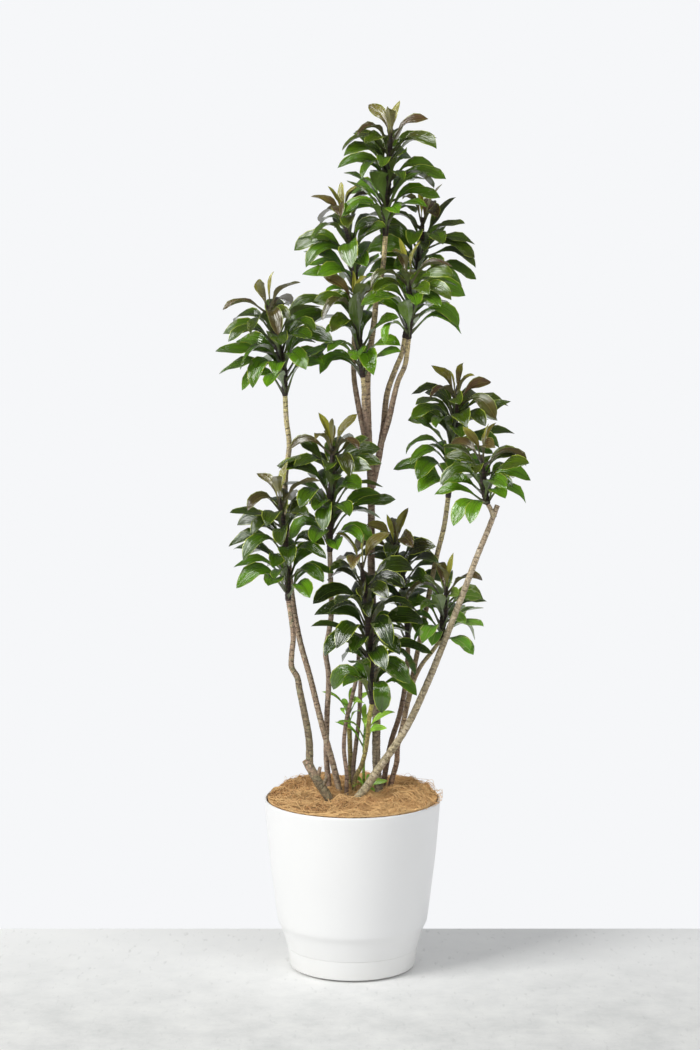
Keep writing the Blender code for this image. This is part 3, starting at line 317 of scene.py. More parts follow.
def repeated(blank, name, count):
    """As many copies of a blank as asked for, in one mesh, in the order of its vertices."""
    made = blank.copy()
    made.data = blank.data.copy()
    made.name = made.data.name = name
    bpy.context.collection.objects.link(made)
    bpy.context.view_layer.objects.active = made
    rows = made.modifiers.new("copies", "ARRAY")
    rows.count = count
    rows.use_relative_offset = False
    rows.use_constant_offset = True
    rows.constant_offset_displace = (0, 0, 0)
    bpy.ops.object.modifier_apply(modifier=rows.name)
    return made


def joined(pieces, name):
    """Several objects as one piece."""
    bpy.ops.object.select_all(action="DESELECT")
    for item in pieces:
        item.select_set(True)
    bpy.context.view_layer.objects.active = pieces[0]
    bpy.ops.object.join()
    made = bpy.context.object
    made.name = made.data.name = name
    bpy.ops.object.select_all(action="DESELECT")
    return made


def drawn_out(made, steps, pointed=False):
    """Extrude a flat outline by steps of 1 into a blank to repeat, and give its corners."""
    bpy.ops.object.mode_set(mode="EDIT")
    for step in range(steps):
        bpy.ops.mesh.extrude_region_move(TRANSFORM_OT_translate={"value": (0, 0, 1)})
    if pointed:
        bpy.ops.mesh.merge(type="CENTER")
    bpy.ops.mesh.select_all(action="SELECT")
    bpy.ops.mesh.normals_make_consistent(inside=False)
    bpy.ops.object.mode_set(mode="OBJECT")
    return [v.co.copy() for v in made.data.vertices]


bpy.ops.mesh.primitive_circle_add(vertices=3, radius=1, location=(0, 0, 0), fill_type="NGON")
strand_blank = bpy.context.object
strand_corners = drawn_out(strand_blank, STRAND_RINGS)
strands = repeated(strand_blank, "coir_strands", STRANDS)
bpy.data.objects.remove(strand_blank, do_unlink=True)

draw = random.Random(5)
points, pale_and_lit = [], []
for number in range(STRANDS):
    if number % LOCK == 0:
        lot = draw.random()
        spread = LOCK_REACH * math.sqrt(draw.random())
        lock_bearing = draw.uniform(0, math.tau)
        lock_heading = draw.uniform(0, math.tau)
        lock_curl = draw.uniform(-1, 1) ** 3 * LOCK_CURL
        pile = draw.random() ** 1.5 * LOCK_PILE
    stray = lot < STRAY_SHARE
    by_wall = STRAY_SHARE < lot < STRAY_SHARE + RIM_SHARE
    away = MAT_REACH * (draw.uniform(0.86, 0.97) if stray else spread)
    bearing = draw.uniform(-0.5, 2.6) if stray else lock_bearing  # strays: right, behind
    heading = lock_heading + draw.uniform(-STRAND_WANDER, STRAND_WANDER)
    if by_wall:
        away = MAT_REACH * draw.uniform(0.96, 0.99)
        heading = bearing + math.pi / 2 + draw.uniform(-0.2, 0.3)
    x = away * math.cos(bearing) + draw.uniform(-STRAND_SHIFT, STRAND_SHIFT)
    y = away * math.sin(bearing) + draw.uniform(-STRAND_SHIFT, STRAND_SHIFT)
    curl = lock_curl + draw.uniform(-0.9, 0.9)
    length = draw.uniform(*STRAND_LENGTH) * (0.55 if stray else 1.0)
    thick = draw.uniform(*STRAND_RADIUS) * (0.5 if stray else 1.0)
    hump = draw.uniform(3, 15) if stray else draw.uniform(0.4, 7.0)
    lift = draw.uniform(2.0, 5.0) if by_wall else draw.random() * 0.8 + pile
    # Painted light: a strand is paler the higher it lies on the mat, with a random share.
    pale = min(1.0, 0.5 * draw.random() + 0.3 * lift)
    path = []
    for ring in range(STRAND_RINGS + 1):
        reach = math.hypot(x, y)
        limit = STRAY_REACH if stray else MAT_REACH - 1.0
        if reach > limit:
            x, y = x * limit / reach, y * limit / reach
            heading += 0 if by_wall else math.copysign(0.9, curl)
        low = RIM_TOP if math.hypot(x, y) > MAT_REACH - 2 else 0.0
        height = mat_top(x, y) + lift + hump * math.sin(math.pi * (ring / STRAND_RINGS))
        path.append(Vector((x, y, max(low, height))))
        heading += curl / STRAND_RINGS
        x += math.cos(heading) * length / STRAND_RINGS
        y += math.sin(heading) * length / STRAND_RINGS
    for p in strand_corners:
        ring = round(p.z)
        ahead = (path[min(ring + 1, STRAND_RINGS)] - path[max(ring - 1, 0)]).normalized()
        side = ahead.cross(Vector((0, 0, 1))).normalized()
        rise = side.cross(ahead)
        taper = thick * (0.45 if ring in (0, STRAND_RINGS) else 1.0)
        points.append(path[ring] + (side * p.x + rise * p.y) * taper)
        pale_and_lit.append(pale)
fitted(strands, points)
set_values(strands, "pale", pale_and_lit)
# The bed beneath is given darker browns than the strands that lie on it: painted shade under them.
strands.data.materials.append(coconut_fibre("coir_strand", "#b47638", "#fad69c"))
mat.data.materials.append(coconut_fibre("coir_bed", "#7d5026", "#d69c58"))
mat = joined([mat, strands], "coir_mat_loose")
placed(mat, None, "coconut_fibre", "coir_mat")

# Canes. Bare woody stems, ringed every few millimetres by the scars of fallen leaves, brown and
# corky near the mat and paler or greener above. Branches grow out of them in one piece. The stump
# and the slanting cane were sawn off, and shoots have grown on from just under the cuts.

# A cane's slot, its colours (skin at the foot, half-way and at the top, corky bloom, scars and
# cracks), and for its main rod and each branch the radii at both ends, then the route.
WOOD = {
    "cane_left": (
        "green_bark", ("#8d7a66", "#947f6b", "#b3a878", "#b0a288", "#4a392a"),
        (
            (6.9, 5.2), (-12, 14, 268), (-23, 16, 324), (-35, 16, 377), (-57, 18, 457),
            (-80, 26, 549), (-99, 35, 617), (-114, 35, 708), (-121, 30, 807), (-124, 20, 930),
            (-117, 15, 988), (-122, 10, 1033), (-124, 5, 1078),
        ),
    ),
    "cane_inner_left": (
        "bark", ("#867362", "#9a8674", "#9c8a72", "#ae9d8b", "#453325"),
        (
            (6.3, 5.3), (-40, 44, 268), (-44, 46, 327), (-49, 44, 385), (-48, 36, 470),
            (-45, 22, 557), (-50, 10, 600), (-44, 5, 636), (-39, -4, 676), (-40, -10, 722),
            (-42, -10, 790),
        ),
    ),
    "cane_thin": (
        "bark", ("#836d5c", "#8c7664", "#9d8a6c", "#a08c7a", "#3f2f24"),
        (
            (4.6, 4.2), (-6, -1, 268), (-11, -3, 324), (-11, 0, 370), (-16, 5, 414), (-11, 9, 470),
            (1, 11, 520), (9, 14, 556), (12, 16, 610),
        ),
    ),
    "cane_behind": (
        "dark_bark", ("#6a5a49", "#7a6858", "#877562", "#8c7c6a", "#30241b"),
        (
            (4.9, 4.5), (8, 36, 268), (3, 33, 326), (2, 30, 374), (6, 30, 412), (12, 32, 465),
            (16, 32, 560),
        ),
    ),
    "cane_stub": (
        "green_bark", ("#7a6a4c", "#877a50", "#9c924e", "#b0a862", "#43351e"),
        ((5.6, 5.2), (0, 58, 268), (-3, 50, 326), (-4, 47, 390), (-6, 46, 448)),
    ),
    "cane_centre": (
        "green_bark", ("#7f6f50", "#8a7c4e", "#a29a4e", "#b3ab64", "#46341c"),
        (
            (4.9, 4.8), (2, 16, 268), (2, 11, 325), (6, 8, 360), (16, 0, 382), (23, -9, 408),
            (28, -20, 443), (32, -35, 488), (36, -45, 511),
        ),
    ),
    "cane_back_right": (
        "dark_bark", ("#6b5747", "#7c6653", "#8d7861", "#8c7a6a", "#2e211a"),
        (
            (6.2, 5.2), (52, 62, 268), (58, 57, 326), (64, 56, 369), (76, 55, 427), (87, 55, 461),
            (96, 55, 502), (103, 55, 559), (105, 55, 604),
        ),
    ),
    "cane_cut": (
        "bark", ("#a69b7c", "#a29478", "#a5917a", "#bcae96", "#584733"),
        (
            (9.5, 5.4), (-9, -21, 268), (8, -29, 326), (23, -32, 346), (49, -36, 387),
            (73, -39, 422), (95, -42, 457), (139, -48, 552), (168, -55, 627), (207, -65, 733),
            (229, -70, 794), (248, -70, 841), (264, -70, 884),
        ),
        ((4.8, 4.6), (258, -70, 862), (252, -73, 876), (246, -75, 887)),
    ),
    "cane_stump": (
        "old_bark", ("#68634a", "#7a6c55", "#a38a76", "#8a8466", "#352d1e"),
        ((10.5, 9.5), (-26, -38, 268), (-41, -44, 325), (-68, -46, 371), (-86, -46, 405)),
        (
            (6.2, 4.9), (-80, -45, 392), (-80, -45, 437), (-90, -49, 500), (-98, -50, 540),
            (-102, -50, 562), (-112, -52, 581), (-112, -54, 605), (-109, -55, 636),
            (-112, -55, 666), (-118, -55, 706),
        ),
        ((4.5, 3.6), (-66, -46, 368), (-60, -50, 392)),
        ((4.5, 3.6), (-57, -46, 352), (-45, -52, 378)),
    ),
    "cane_right": (
        "green_bark", ("#806657", "#958263", "#b3a878", "#a4937e", "#3d2c22"),
        (
            (6, 5.2), (64, 42, 268), (70, 46, 326), (76, 45, 351), (84, 40, 384), (85, 38, 411),
            (92, 34, 442), (98, 30, 470), (105, 28, 505), (116, 30, 564), (134, 30, 655),
            (157, 30, 775), (171, 30, 834), (178, 30, 886),
        ),
        (
            (4.6, 4.2), (104, 28, 500), (116, 22, 545), (130, 10, 575), (150, -4, 604),
            (163, -10, 624),
        ),
    ),
    "trunk": (
        "bark", ("#6b6350", "#8a7463", "#cbb888", "#a08f7a", "#3a2c22"),
        (
            (9.6, 5), (49, 24, 268), (50, 26, 327), (46, 27, 372), (45, 30, 488), (40, 35, 617),
            (35, 40, 768), (35, 36, 881), (33, 30, 938), (29, 25, 1032), (28, 20, 1113),
            (35, 10, 1180), (41, 5, 1226), (44, 0, 1263), (54, -5, 1305), (60, -5, 1370),
        ),
        (
            (5.4, 4.8), (33, 31, 950), (21, 35, 1010), (9, 37, 1068), (3, 41, 1108), (2, 45, 1150),
            (5, 46, 1215), (6, 45, 1252),
        ),
        ((5, 4.8), (30, 25, 1000), (25, 12, 1035), (21, 5, 1066), (21, 3, 1088), (19, 2, 1112)),
        (
            (6, 5), (36, 33, 905), (47, 36, 952), (57, 45, 1011), (66, 54, 1085), (81, 60, 1126),
            (92, 60, 1153), (97, 56, 1181),
        ),
        (
            (5.4, 5), (54, 42, 990), (67, 33, 1031), (75, 15, 1069), (84, 0, 1106), (96, -18, 1136),
            (100, -28, 1164), (102, -34, 1185),
        ),
    ),
    "shoot_stem": (
        "green_bark", ("#6f8a3a", "#7a9c3a", "#86ac40", "#8a9a55", "#4a5a26"),
        ((3.4, 2.8), (24, 28, 268), (22, 26, 330), (21, 22, 372), (22, 20, 404)),
    ),
}
RING_SCARS = 4.2  # mean distance between two scars
SCAR_SWELL = 0.045
CANE_SIDES = 14
BRANCH_SWELL = 1.3
FORK_YOUTH = 0.45  # how young the bark is where branches start
BARK_FIT = 0.88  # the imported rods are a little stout, to be sturdy; this is the real thickness
CUT_ENDS = ("cane_stump", "cane_cut", "cane_stub")
BARK_ANGLE = 55  # edges flatter than this are shaded smooth


def blend(values, share):
    """A value that changes evenly through two or three given values."""
    if len(values) == 3:
        values, share = (values[:2], share * 2) if share < 0.5 else (values[1:], share * 2 - 1)
    return values[0] + (values[1] - values[0]) * share


def smooth_route(route, radii, step):
    """Places, tangents, radii and lengths along a curve that runs through a route's points."""
    knots = [Vector(p) for p in route]
    gaps = [(b - a).length for a, b in zip(knots, knots[1:])]
    slopes = [(b - a) / gap for a, b, gap in zip(knots, knots[1:], gaps)]
    tangents = [slopes[0]]
    for k in range(1, len(knots) - 1):
        near, far = gaps[k - 1], gaps[k]
        tangents.append((slopes[k] * near + slopes[k - 1] * far) / (near + far))
    tangents.append(slopes[-1])
    path = []
    run = 0.0
    for k, gap in enumerate(gaps):
        count = max(1, round(gap / step))
        for n in range(count + (k == len(gaps) - 1)):
            t = n / count
            place = (
                knots[k] * (2 * t**3 - 3 * t**2 + 1)
                + tangents[k] * gap * (t**3 - 2 * t**2 + t)
                + knots[k + 1] * (3 * t**2 - 2 * t**3)
                + tangents[k + 1] * gap * (t**3 - t**2)
            )
            ahead = (
                (knots[k + 1] - knots[k]) * (6 * t - 6 * t**2)
                + tangents[k] * gap * (3 * t**2 - 4 * t + 1)
                + tangents[k + 1] * gap * (3 * t**2 - 2 * t)
            ).normalized()
            if path:
                run += (place - path[-1][0]).length
            path.append((place, ahead, blend(radii, (k + t) / len(gaps)), run))
    return path


def rod(name, route, radii, sides, step, swell, draw, youth=(0, 1)):
    """A round stem: a grid rolled up along its route and welded, swollen at every other row. Youth
    says how young its bark is at the foot and at the top."""
    path = smooth_route(route, radii, step)
    rows = len(path) - 1
    bpy.ops.mesh.primitive_grid_add(
        x_subdivisions=sides, y_subdivisions=rows, size=1, location=(0, 0, 0)
    )
    made = bpy.context.object
    made.name = made.data.name = name
    widths = [1 + (swell if k % 2 else -swell) * draw.uniform(0.4, 1.0) for k in range(rows + 1)]
    points, runs, rises = [], [], []
    for v in made.data.vertices:
        k = round((v.co.y + 0.5) * rows)
        place, ahead, radius, run = path[k]
        first = (Vector((1, 0, 0)) - ahead * ahead.x).normalized()
        second = ahead.cross(first)
        turn = math.tau * (v.co.x + 0.5)
        lump = 1 + 0.5 * swell * math.sin(2 * turn + 0.7 * k)
        reach = radius * widths[k] * lump
        points.append(place + (first * math.cos(turn) + second * math.sin(turn)) * reach)
        runs.append(run)
        rises.append(blend(youth, k / rows))
    fitted(made, points)
    set_values(made, "run", runs)
    set_values(made, "rise", rises)
    bpy.ops.object.mode_set(mode="EDIT")
    bpy.ops.mesh.select_all(action="SELECT")
    bpy.ops.mesh.remove_doubles(threshold=0.000002)
    bpy.ops.mesh.fill_holes(sides=0)
    bpy.ops.mesh.select_all(action="SELECT")
    bpy.ops.mesh.normals_make_consistent(inside=False)
    bpy.ops.object.mode_set(mode="OBJECT")
    bpy.ops.object.shade_smooth_by_angle(angle=math.radians(BARK_ANGLE))
    return made


def ringed_bark(name, foot, middle, top, patch, marks):
    """Young dracaena bark: a thin skin with a dark cracked line at each leaf scar, a corky lighter
    bloom in patches and in flat flecks between the scars, vertical cracks, and dull with a slight
    sheen where it is still green."""
    made, node = blank_material(name)
    spot = node("TexCoord")
    run = node("Attribute", attribute_name="run")
    rise = node("Attribute", attribute_name="rise")
    wander = node("TexNoise", {"Vector": spot, "Scale": 60.0, "Detail": 3.0})
    drift = node("Math", [wander, 4.5], operation="MULTIPLY")
    turns = node("Math", [run, 1 / RING_SCARS, drift], operation="MULTIPLY_ADD")
    phase = node("Math", [turns, 1.0], operation="PINGPONG")
    scar = node("MapRange", [phase, 0.0, 0.34, 1.0, 0.0])
    broken = node("TexNoise", {"Vector": spot, "Scale": 150.0, "Detail": 4.0})
    strength = node("MapRange", [broken, 0.38, 0.58, 0.0, 0.9])
    line = node("Math", [scar, strength], operation="MULTIPLY")
    skin = node("ValToRGB", [rise], ((0.05, foot), (0.5, middle), (0.68, middle), (0.98, top)))
    cloud = node("TexNoise", {"Vector": spot, "Scale": 95.0, "Detail": 5.0})
    bloom = node("MapRange", [cloud, 0.5, 0.6])
    patched = node("Mix", {0: bloom, 6: skin, 7: patch}, data_type="RGBA")
    paler = node("HueSaturation", {"Color": skin, "Saturation": 1.05, "Value": 1.65})
    flat = node("Mapping", {"Vector": spot, "Scale": (1.0, 1.0, 2.2)})
    fleck = node("TexNoise", {"Vector": flat, "Scale": 210.0, "Detail": 2.0})
    flecked = node("MapRange", [fleck, 0.52, 0.6, 0.0, 0.85])
    patched = node("Mix", {0: flecked, 6: patched, 7: paler}, data_type="RGBA")
    stretched = node("Mapping", {"Vector": spot, "Scale": (1.0, 1.0, 0.12)})
    crack = node("TexNoise", {"Vector": stretched, "Scale": 480.0, "Detail": 2.0})
    split = node("MapRange", [crack, 0.56, 0.66, 0.0, 0.5])
    dark = node("Math", [line, split], operation="MAXIMUM")
    paint = node("Mix", {0: dark, 6: patched, 7: marks}, data_type="RGBA")
    grooves = {"Height": dark, "Strength": 1.0, "Distance": 0.0016}
    relief = node("Bump", grooves, invert=True)
    rough = node("MapRange", {0: rise, 3: 0.82, 4: 0.6})
    surface = {"Base Color": paint, "Roughness": rough, "Normal": relief}
    node("OutputMaterial", [node("BsdfPrincipled", surface)])
    return made


def sawn_wood():
    """The sawn end of a cane: dry fibrous pith, brown, with dark vessel dots about 1 mm apart."""
    made, node = blank_material("sawn_cane_wood")
    dots = node("TexVoronoi", {"Vector": node("TexCoord"), "Scale": 900.0})
    paint = node("ValToRGB", [dots], ((0.0, "#5b4430"), (0.35, "#8b6c49"), (1.0, "#a98a62")))
    relief = node("Bump", {"Height": dots, "Strength": 0.5, "Distance": 0.0008})
    surface = {"Base Color": paint, "Roughness": 0.9, "Normal": relief}
    node("OutputMaterial", [node("BsdfPrincipled", surface)])
    return made


end_grain = sawn_wood()
for number, (node, (slot, tones, *canes)) in enumerate(WOOD.items()):
    draw = random.Random(number)
    rods = []
    for place, ((foot, top), *route) in enumerate(canes):
        radii = (foot * BRANCH_SWELL, foot, top) if place else (foot, top)
        radii = [radius * BARK_FIT for radius in radii]
        youth = (FORK_YOUTH if place else 0, 1)
        name = f"{node}_{place}"
        rods.append(rod(name, route, radii, CANE_SIDES, RING_SCARS / 2, SCAR_SWELL, draw, youth))
    bark = ringed_bark(f"ringed_bark_{node}", *tones)
    for item in rods:
        item.data.materials.append(bark)
        item.data.materials.append(end_grain)
    if node in CUT_ENDS:
        for face in rods[0].data.polygons:
            face.material_index = int(len(face.vertices) > 4)
    placed(joined(rods, f"{node}_bark"), None, slot, node)

# Heads of leaves. Each cane ends in a stem wrapped in dark leaf bases, with stiff glossy leaves in
# a golden-angle spiral: a channelled stalk that rises steeply, then a pointed blade that arches
# over towards the light. The lowest are the oldest. Each stalk grows out of the stem's side.
Leaf = namedtuple("Leaf", "height azimuth length lean bend")
Head = namedtuple("Head", "name stem count lengths leans bends young young_lean seed own")
# A head's own leaves, with their height in hundredths of the stem, each follow a leaf that stands
# out: its middle and tip were read off, and a search fitted these values to them. They grow
# before the leaves of the spiral, which take the places left.
HEADS = (
    Head(
        "top", ((60, -5, 1370), (61, -5, 1435), (65, -5, 1490), (68, -5, 1530)), 28,
        (118, 130, 104), (28, 22), (84, 74), 7, 10, 11,
        (
            (2, 283, 108, 16, 78), (12, 241, 106, 48, 18), (25, 250, 114, 17, 37),
            (27, 227, 110, 48, 20), (30, 316, 111, 27, 32), (39, 342, 108, 55, 43),
            (39, 213, 104, 43, 13), (59, 294, 109, 27, 37), (66, 354, 106, 70, 41),
            (67, 215, 116, 28, 63), (93, 325, 115, 47, 60), (96, 207, 110, 46, 69),
        ),
    ),
    Head(
        "upper_left", ((6, 45, 1252), (3, 43, 1307), (-4, 41, 1355), (-12, 39, 1388)), 20,
        (118, 128, 104), (28, 22), (88, 70), 7, 12, 12,
        (
            (2, 263, 112, 44, 2), (2, 307, 101, 35, 51), (10, 182, 107, 43, 45),
            (10, 301, 117, 32, 28), (25, 180, 113, 32, 44), (34, 177, 102, 62, 24),
            (63, 307, 120, 43, 32), (72, 191, 100, 59, 21),
        ),
    ),
    Head(
        "back_right", ((97, 56, 1181), (112, 58, 1252), (124, 60, 1330), (128, 60, 1378)), 20,
        (118, 128, 108), (28, 22), (84, 66), 6, 14, 13,
        (
            (63, 359, 113, 64, 54), (70, 300, 100, 50, 120), (73, 357, 112, 64, 55),
            (78, 293, 113, 44, 59), (79, 260, 104, 34, 78), (86, 354, 108, 63, 64),
            (92, 316, 109, 51, 25), (95, 350, 100, 70, 38), (96, 358, 121, 35, 10),
        ),
    ),
    Head(
        "front_right", ((102, -34, 1185), (104, -38, 1222), (104, -42, 1258), (102, -44, 1280)), 18,
        (110, 120, 96), (30, 24), (84, 66), 6, 12, 14,
        (
            (3, 260, 108, 21, 26), (20, 295, 106, 52, 62), (37, 275, 114, 26, 69),
            (41, 358, 103, 59, 79), (50, 239, 115, 56, 13), (52, 48, 113, 68, 47),
            (73, 315, 103, 50, 58), (75, 322, 110, 49, 42), (96, 217, 109, 23, 33),
        ),
    ),
    Head(
        "middle", ((19, 2, 1112), (14, 0, 1160), (8, -4, 1200), (5, -6, 1226)), 19, (122, 132, 116),
        (24, 14), (100, 58), 5, 10, 15,
        (
            (2, 316, 105, 40, 39), (6, 182, 101, 38, 99), (7, 81, 121, 19, 53),
            (14, 319, 110, 32, 58), (19, 266, 117, 47, 43), (32, 234, 101, 43, 50),
            (48, 316, 116, 40, 27), (52, 269, 121, 13, 12),
        ),
    ),
    Head(
        "left", ((-124, 5, 1078), (-127, 1, 1130), (-139, -5, 1180), (-150, -8, 1220)), 21,
        (126, 132, 104), (26, 26), (92, 70), 7, 30, 16,
        (
            (2, 256, 118, 37, 60), (16, 330, 114, 36, 31), (26, 223, 114, 39, 106),
            (40, 180, 117, 73, 31), (48, 305, 125, 34, 56), (56, 181, 114, 71, 11),
            (71, 209, 110, 37, 68), (96, 0, 126, 51, 46),
        ),
    ),
    Head(
        "right", ((178, 30, 886), (184, 30, 957), (189, 30, 1014), (192, 30, 1054)), 24,
        (118, 128, 104), (26, 24), (90, 70), 8, 26, 17,
        (
            (15, 269, 111, 26, 68), (37, 210, 103, 44, 70), (49, 273, 122, 31, 61),
            (50, 182, 102, 45, 80), (50, 240, 102, 72, 125), (53, 221, 115, 46, 7),
            (63, 357, 111, 67, 27), (70, 280, 122, 32, 63), (75, 204, 113, 31, 80),
            (77, 353, 109, 62, 0), (77, 226, 122, 35, 48), (84, 314, 113, 46, 49),
            (96, 18, 118, 52, 58),
        ),
    ),
    Head(
        "low_right", ((246, -75, 887), (240, -78, 908), (237, -80, 936), (236, -80, 952)), 13,
        (104, 110, 90), (40, 26), (100, 60), 6, 14, 18,
        (
            (2, 222, 101, 66, 61), (2, 235, 113, 73, 49), (2, 284, 101, 43, 53),
            (4, 178, 102, 46, 48), (6, 271, 101, 74, 125), (14, 286, 123, 37, 48),
            (19, 56, 113, 56, 56), (40, 239, 114, 35, 17), (80, 315, 113, 64, 12),
            (87, 216, 108, 35, 28),
        ),
    ),
    Head(
        "inner_left", ((-42, -10, 790), (-41, -12, 850), (-38, -15, 918), (-37, -16, 962)), 25,
        (118, 130, 108), (28, 24), (92, 70), 8, 24, 19,
        (
            (2, 278, 109, 54, 37), (9, 316, 113, 47, 54), (10, 254, 122, 47, 47),
            (30, 297, 106, 25, 81), (36, 247, 106, 32, 62), (40, 358, 119, 68, 13),
            (60, 31, 110, 50, 83), (78, 226, 109, 38, 54), (80, 346, 103, 41, 62),
            (91, 178, 102, 67, 43), (92, 178, 122, 52, 29), (95, 313, 114, 39, 20),
        ),
    ),
    Head(
        "low_left", ((-118, -55, 706), (-120, -55, 763), (-125, -55, 828), (-130, -55, 870)), 19,
        (118, 124, 100), (28, 24), (92, 70), 7, 14, 20,
        (
            (2, 299, 114, 47, 56), (9, 250, 118, 49, 33), (24, 258, 118, 22, 71),
            (24, 318, 100, 48, 72), (25, 181, 110, 41, 63), (41, 158, 109, 57, 38),
            (46, 272, 114, 41, 69), (65, 178, 108, 60, 55), (75, 256, 116, 30, 66),
            (87, 239, 108, 57, 39), (89, 217, 111, 66, 2),
        ),
    ),
    Head(
        "centre", ((36, -45, 511), (33, -52, 576), (27, -60, 690), (19, -64, 752)), 30,
        (118, 124, 112), (32, 26), (110, 78), 5, 12, 21,
        (
            (2, 238, 110, 25, 46), (6, 0, 102, 45, 94), (11, 242, 121, 20, 40),
            (12, 288, 108, 51, 125), (17, 52, 112, 49, 98), (33, 141, 115, 40, 81),
            (37, 360, 117, 67, 48), (37, 249, 109, 27, 77), (40, 310, 107, 32, 83),
            (55, 180, 104, 65, 11), (68, 233, 124, 29, 51), (82, 334, 113, 15, 106),
            (92, 229, 112, 33, 44),
        ),
    ),
    Head(
        "centre_right", ((105, 55, 604), (102, 50, 671), (92, 44, 740), (84, 40, 775)), 24,
        (112, 122, 108), (28, 24), (90, 70), 6, 14, 22,
        (
            (24, 281, 123, 13, 63), (38, 283, 113, 18, 68), (75, 316, 110, 39, 53),
            (89, 265, 112, 12, 77), (94, 42, 109, 44, 83), (96, 45, 121, 25, 81),
        ),
    ),
    Head(
        "pale", ((163, -10, 624), (168, -11, 656), (171, -12, 684), (172, -13, 700)), 13,
        (102, 106, 84), (38, 24), (96, 60), 5, 10, 23,
        (
            (2, 298, 104, 74, 23), (2, 297, 103, 74, 55), (3, 272, 109, 52, 57),
            (20, 134, 107, 48, 76), (21, 250, 107, 62, 44), (22, 319, 102, 55, 27),
            (41, 65, 109, 56, 73), (50, 36, 114, 50, 53), (52, 255, 106, 40, 7),
            (83, 241, 113, 33, 13), (94, 35, 102, 53, 74),
        ),
    ),
)
TRIES = 28
TIP_MATCH = 0.05  # how far from a leaf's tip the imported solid's corner may be
GAP = 0.3
LEAF_WIDTH = 0.32
LOWEST_LEAF = 0.04
HIGHEST_LEAF = 0.9
STALK_END = 0.26
STALK_WIDTH = 0.18
BLADE_SKEW = 1.1
BLADE_FULLNESS = 0.7
LIGHT = Vector((-0.25, -0.78, 0.57))
LIGHT_TURN = 0.48
LIGHT_TURN_MAX = 44
LIGHT_DROOP = 20
SWEEP = 30
TWIST = 34
OWN_WANDER = 0.3
ASIDE_TURN = 44  # how far a leaf is turned aside, leant, bent and shortened at its last try
ASIDE_LEAN = (-12, 24)
ASIDE_BEND = (-40, 30)
ASIDE_SHORTER = 0.3
SPIRAL_TURN = 14  # how much the leaves of the spiral differ from one another
SPIRAL_LENGTH = (0.88, 1.06)
SPIRAL_LEAN = (-8, 12)
SPIRAL_BEND = (-26, 20)
OLDEST, AGE_SPAN = 0.95, 0.65  # age of a head's lowest leaves, and how much younger its top is
STEM_SIDES = 6
RING_STAGGER = 0.3
ROWS_PER_LEAF = 0.5
HEAD_STEM_RADII = (5.2, 7.4, 4.8)
SHEATH_STEP = 3.2
SHEATH_SIDES = 12
SHEATH_SWELL = 0.07
GOLDEN_ANGLE = 137.5
PATH_STEPS = 24
BEND_FROM = 0.14
BEND_TO = 0.82
LEAF_RINGS = (0, 3, 6, 8, 10, 12, 14, 17, 20, 22, 23, 24)  # in steps of the path
LEAF_ANGLE = 60  # edges flatter than this are shaded smooth
EDGE_WAVE = 0.16
TIP_TWIST = 42
TIP_HOOK = 11.0  # how far a leaf's tip is hooked at most
CLASP = 2.1  # how much wider a stalk is where it clasps the stem
# How much lighter a head's leaves are than the leaf colours say: the outer heads stand in full
# light, the centre one in the shade of the rest.
LIGHTER = {
    "front_right": 2.2, "upper_left": 1.1, "low_right": 0.8, "top": 1.1, "middle": 1.1,
    "back_right": 1.0, "left": 0.7, "right": 0.4, "inner_left": 0.1, "low_left": -0.5,
    "centre_right": -0.8, "centre": -1.3,
}
# Painted light: the lowest, oldest leaves of a head are drawn lighter, as if more light fell on
# them.
LOWEST_LIT = 1.3  # how much lighter the oldest leaves of a head are than its others


def along(points, share):
    """The point and the direction at a share of the length of a line through points."""
    spots = [Vector(p) for p in points]
    lengths = [(b - a).length for a, b in zip(spots, spots[1:])]
    left = share * sum(lengths)
    for a, b, length in zip(spots, spots[1:], lengths):
        if left <= length or b is spots[-1]:
            return a.lerp(b, left / length), (b - a).normalized()
        left -= length


def half_width(share, length, width):
    """Half of a leaf's width: a narrow stalk that opens into a pointed oval blade."""
    full = 0.5 * length * width
    stalk = full * STALK_WIDTH
    if share <= STALK_END:
        return stalk
    u = (share - STALK_END) / (1 - STALK_END)
    blade = full * math.sin(math.pi * u**BLADE_SKEW) ** BLADE_FULLNESS
    return max(blade, stalk * (1 - u))


def rolled(side, normal, angle):
    """A leaf's side and upper normal after the leaf has rolled about its midrib."""
    cos, sin = math.cos(angle), math.sin(angle)
    return side * cos + normal * sin, normal * cos - side * sin


def midrib(root, up, leaf, sweep, twist):
    """Place, side and upper normal at each step along a leaf's midrib."""
    up = (up + Vector((0, 0, 1))).normalized()
    azimuth = math.radians(leaf.azimuth)
    out = Vector((math.cos(azimuth), math.sin(azimuth), 0.0))
    out = (out - up * out.dot(up)).normalized()
    across = up.cross(out)
    place = root.copy()
    droop = LIGHT_DROOP * max(0.0, out.dot(Vector((LIGHT.x, LIGHT.y, 0)).normalized()))
    steps = []
    for k in range(PATH_STEPS + 1):
        share = k / PATH_STEPS
        part = min(1.0, max(0.0, (share - BEND_FROM) / (BEND_TO - BEND_FROM)))
        angle = math.radians(leaf.lean + (leaf.bend + droop) * part * part * (3 - 2 * part))
        turn = math.radians(sweep) * share
        heading = out * math.cos(turn) + across * math.sin(turn)
        ahead = up * math.cos(angle) + heading * math.sin(angle)
        side = up.cross(heading)
        normal = up * math.sin(angle) - heading * math.cos(angle)
        to_light = math.degrees(math.atan2(-LIGHT.dot(side), LIGHT.dot(normal)))
        to_light = max(-LIGHT_TURN_MAX, min(LIGHT_TURN_MAX, to_light * LIGHT_TURN))
        roll = math.radians(twist + to_light) * min(1.0, share / 0.6)
        steps.append((place.copy(), *rolled(side, normal, roll)))
        place = place + ahead * (leaf.length / PATH_STEPS)
    return steps


def packed_corners(node):
    """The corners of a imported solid, to be searched by place."""
    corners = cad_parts[node].data.vertices
    tree = KDTree(len(corners))
    for v in corners:
        tree.insert(v.co / MM, v.index)
    tree.balance()
    return tree


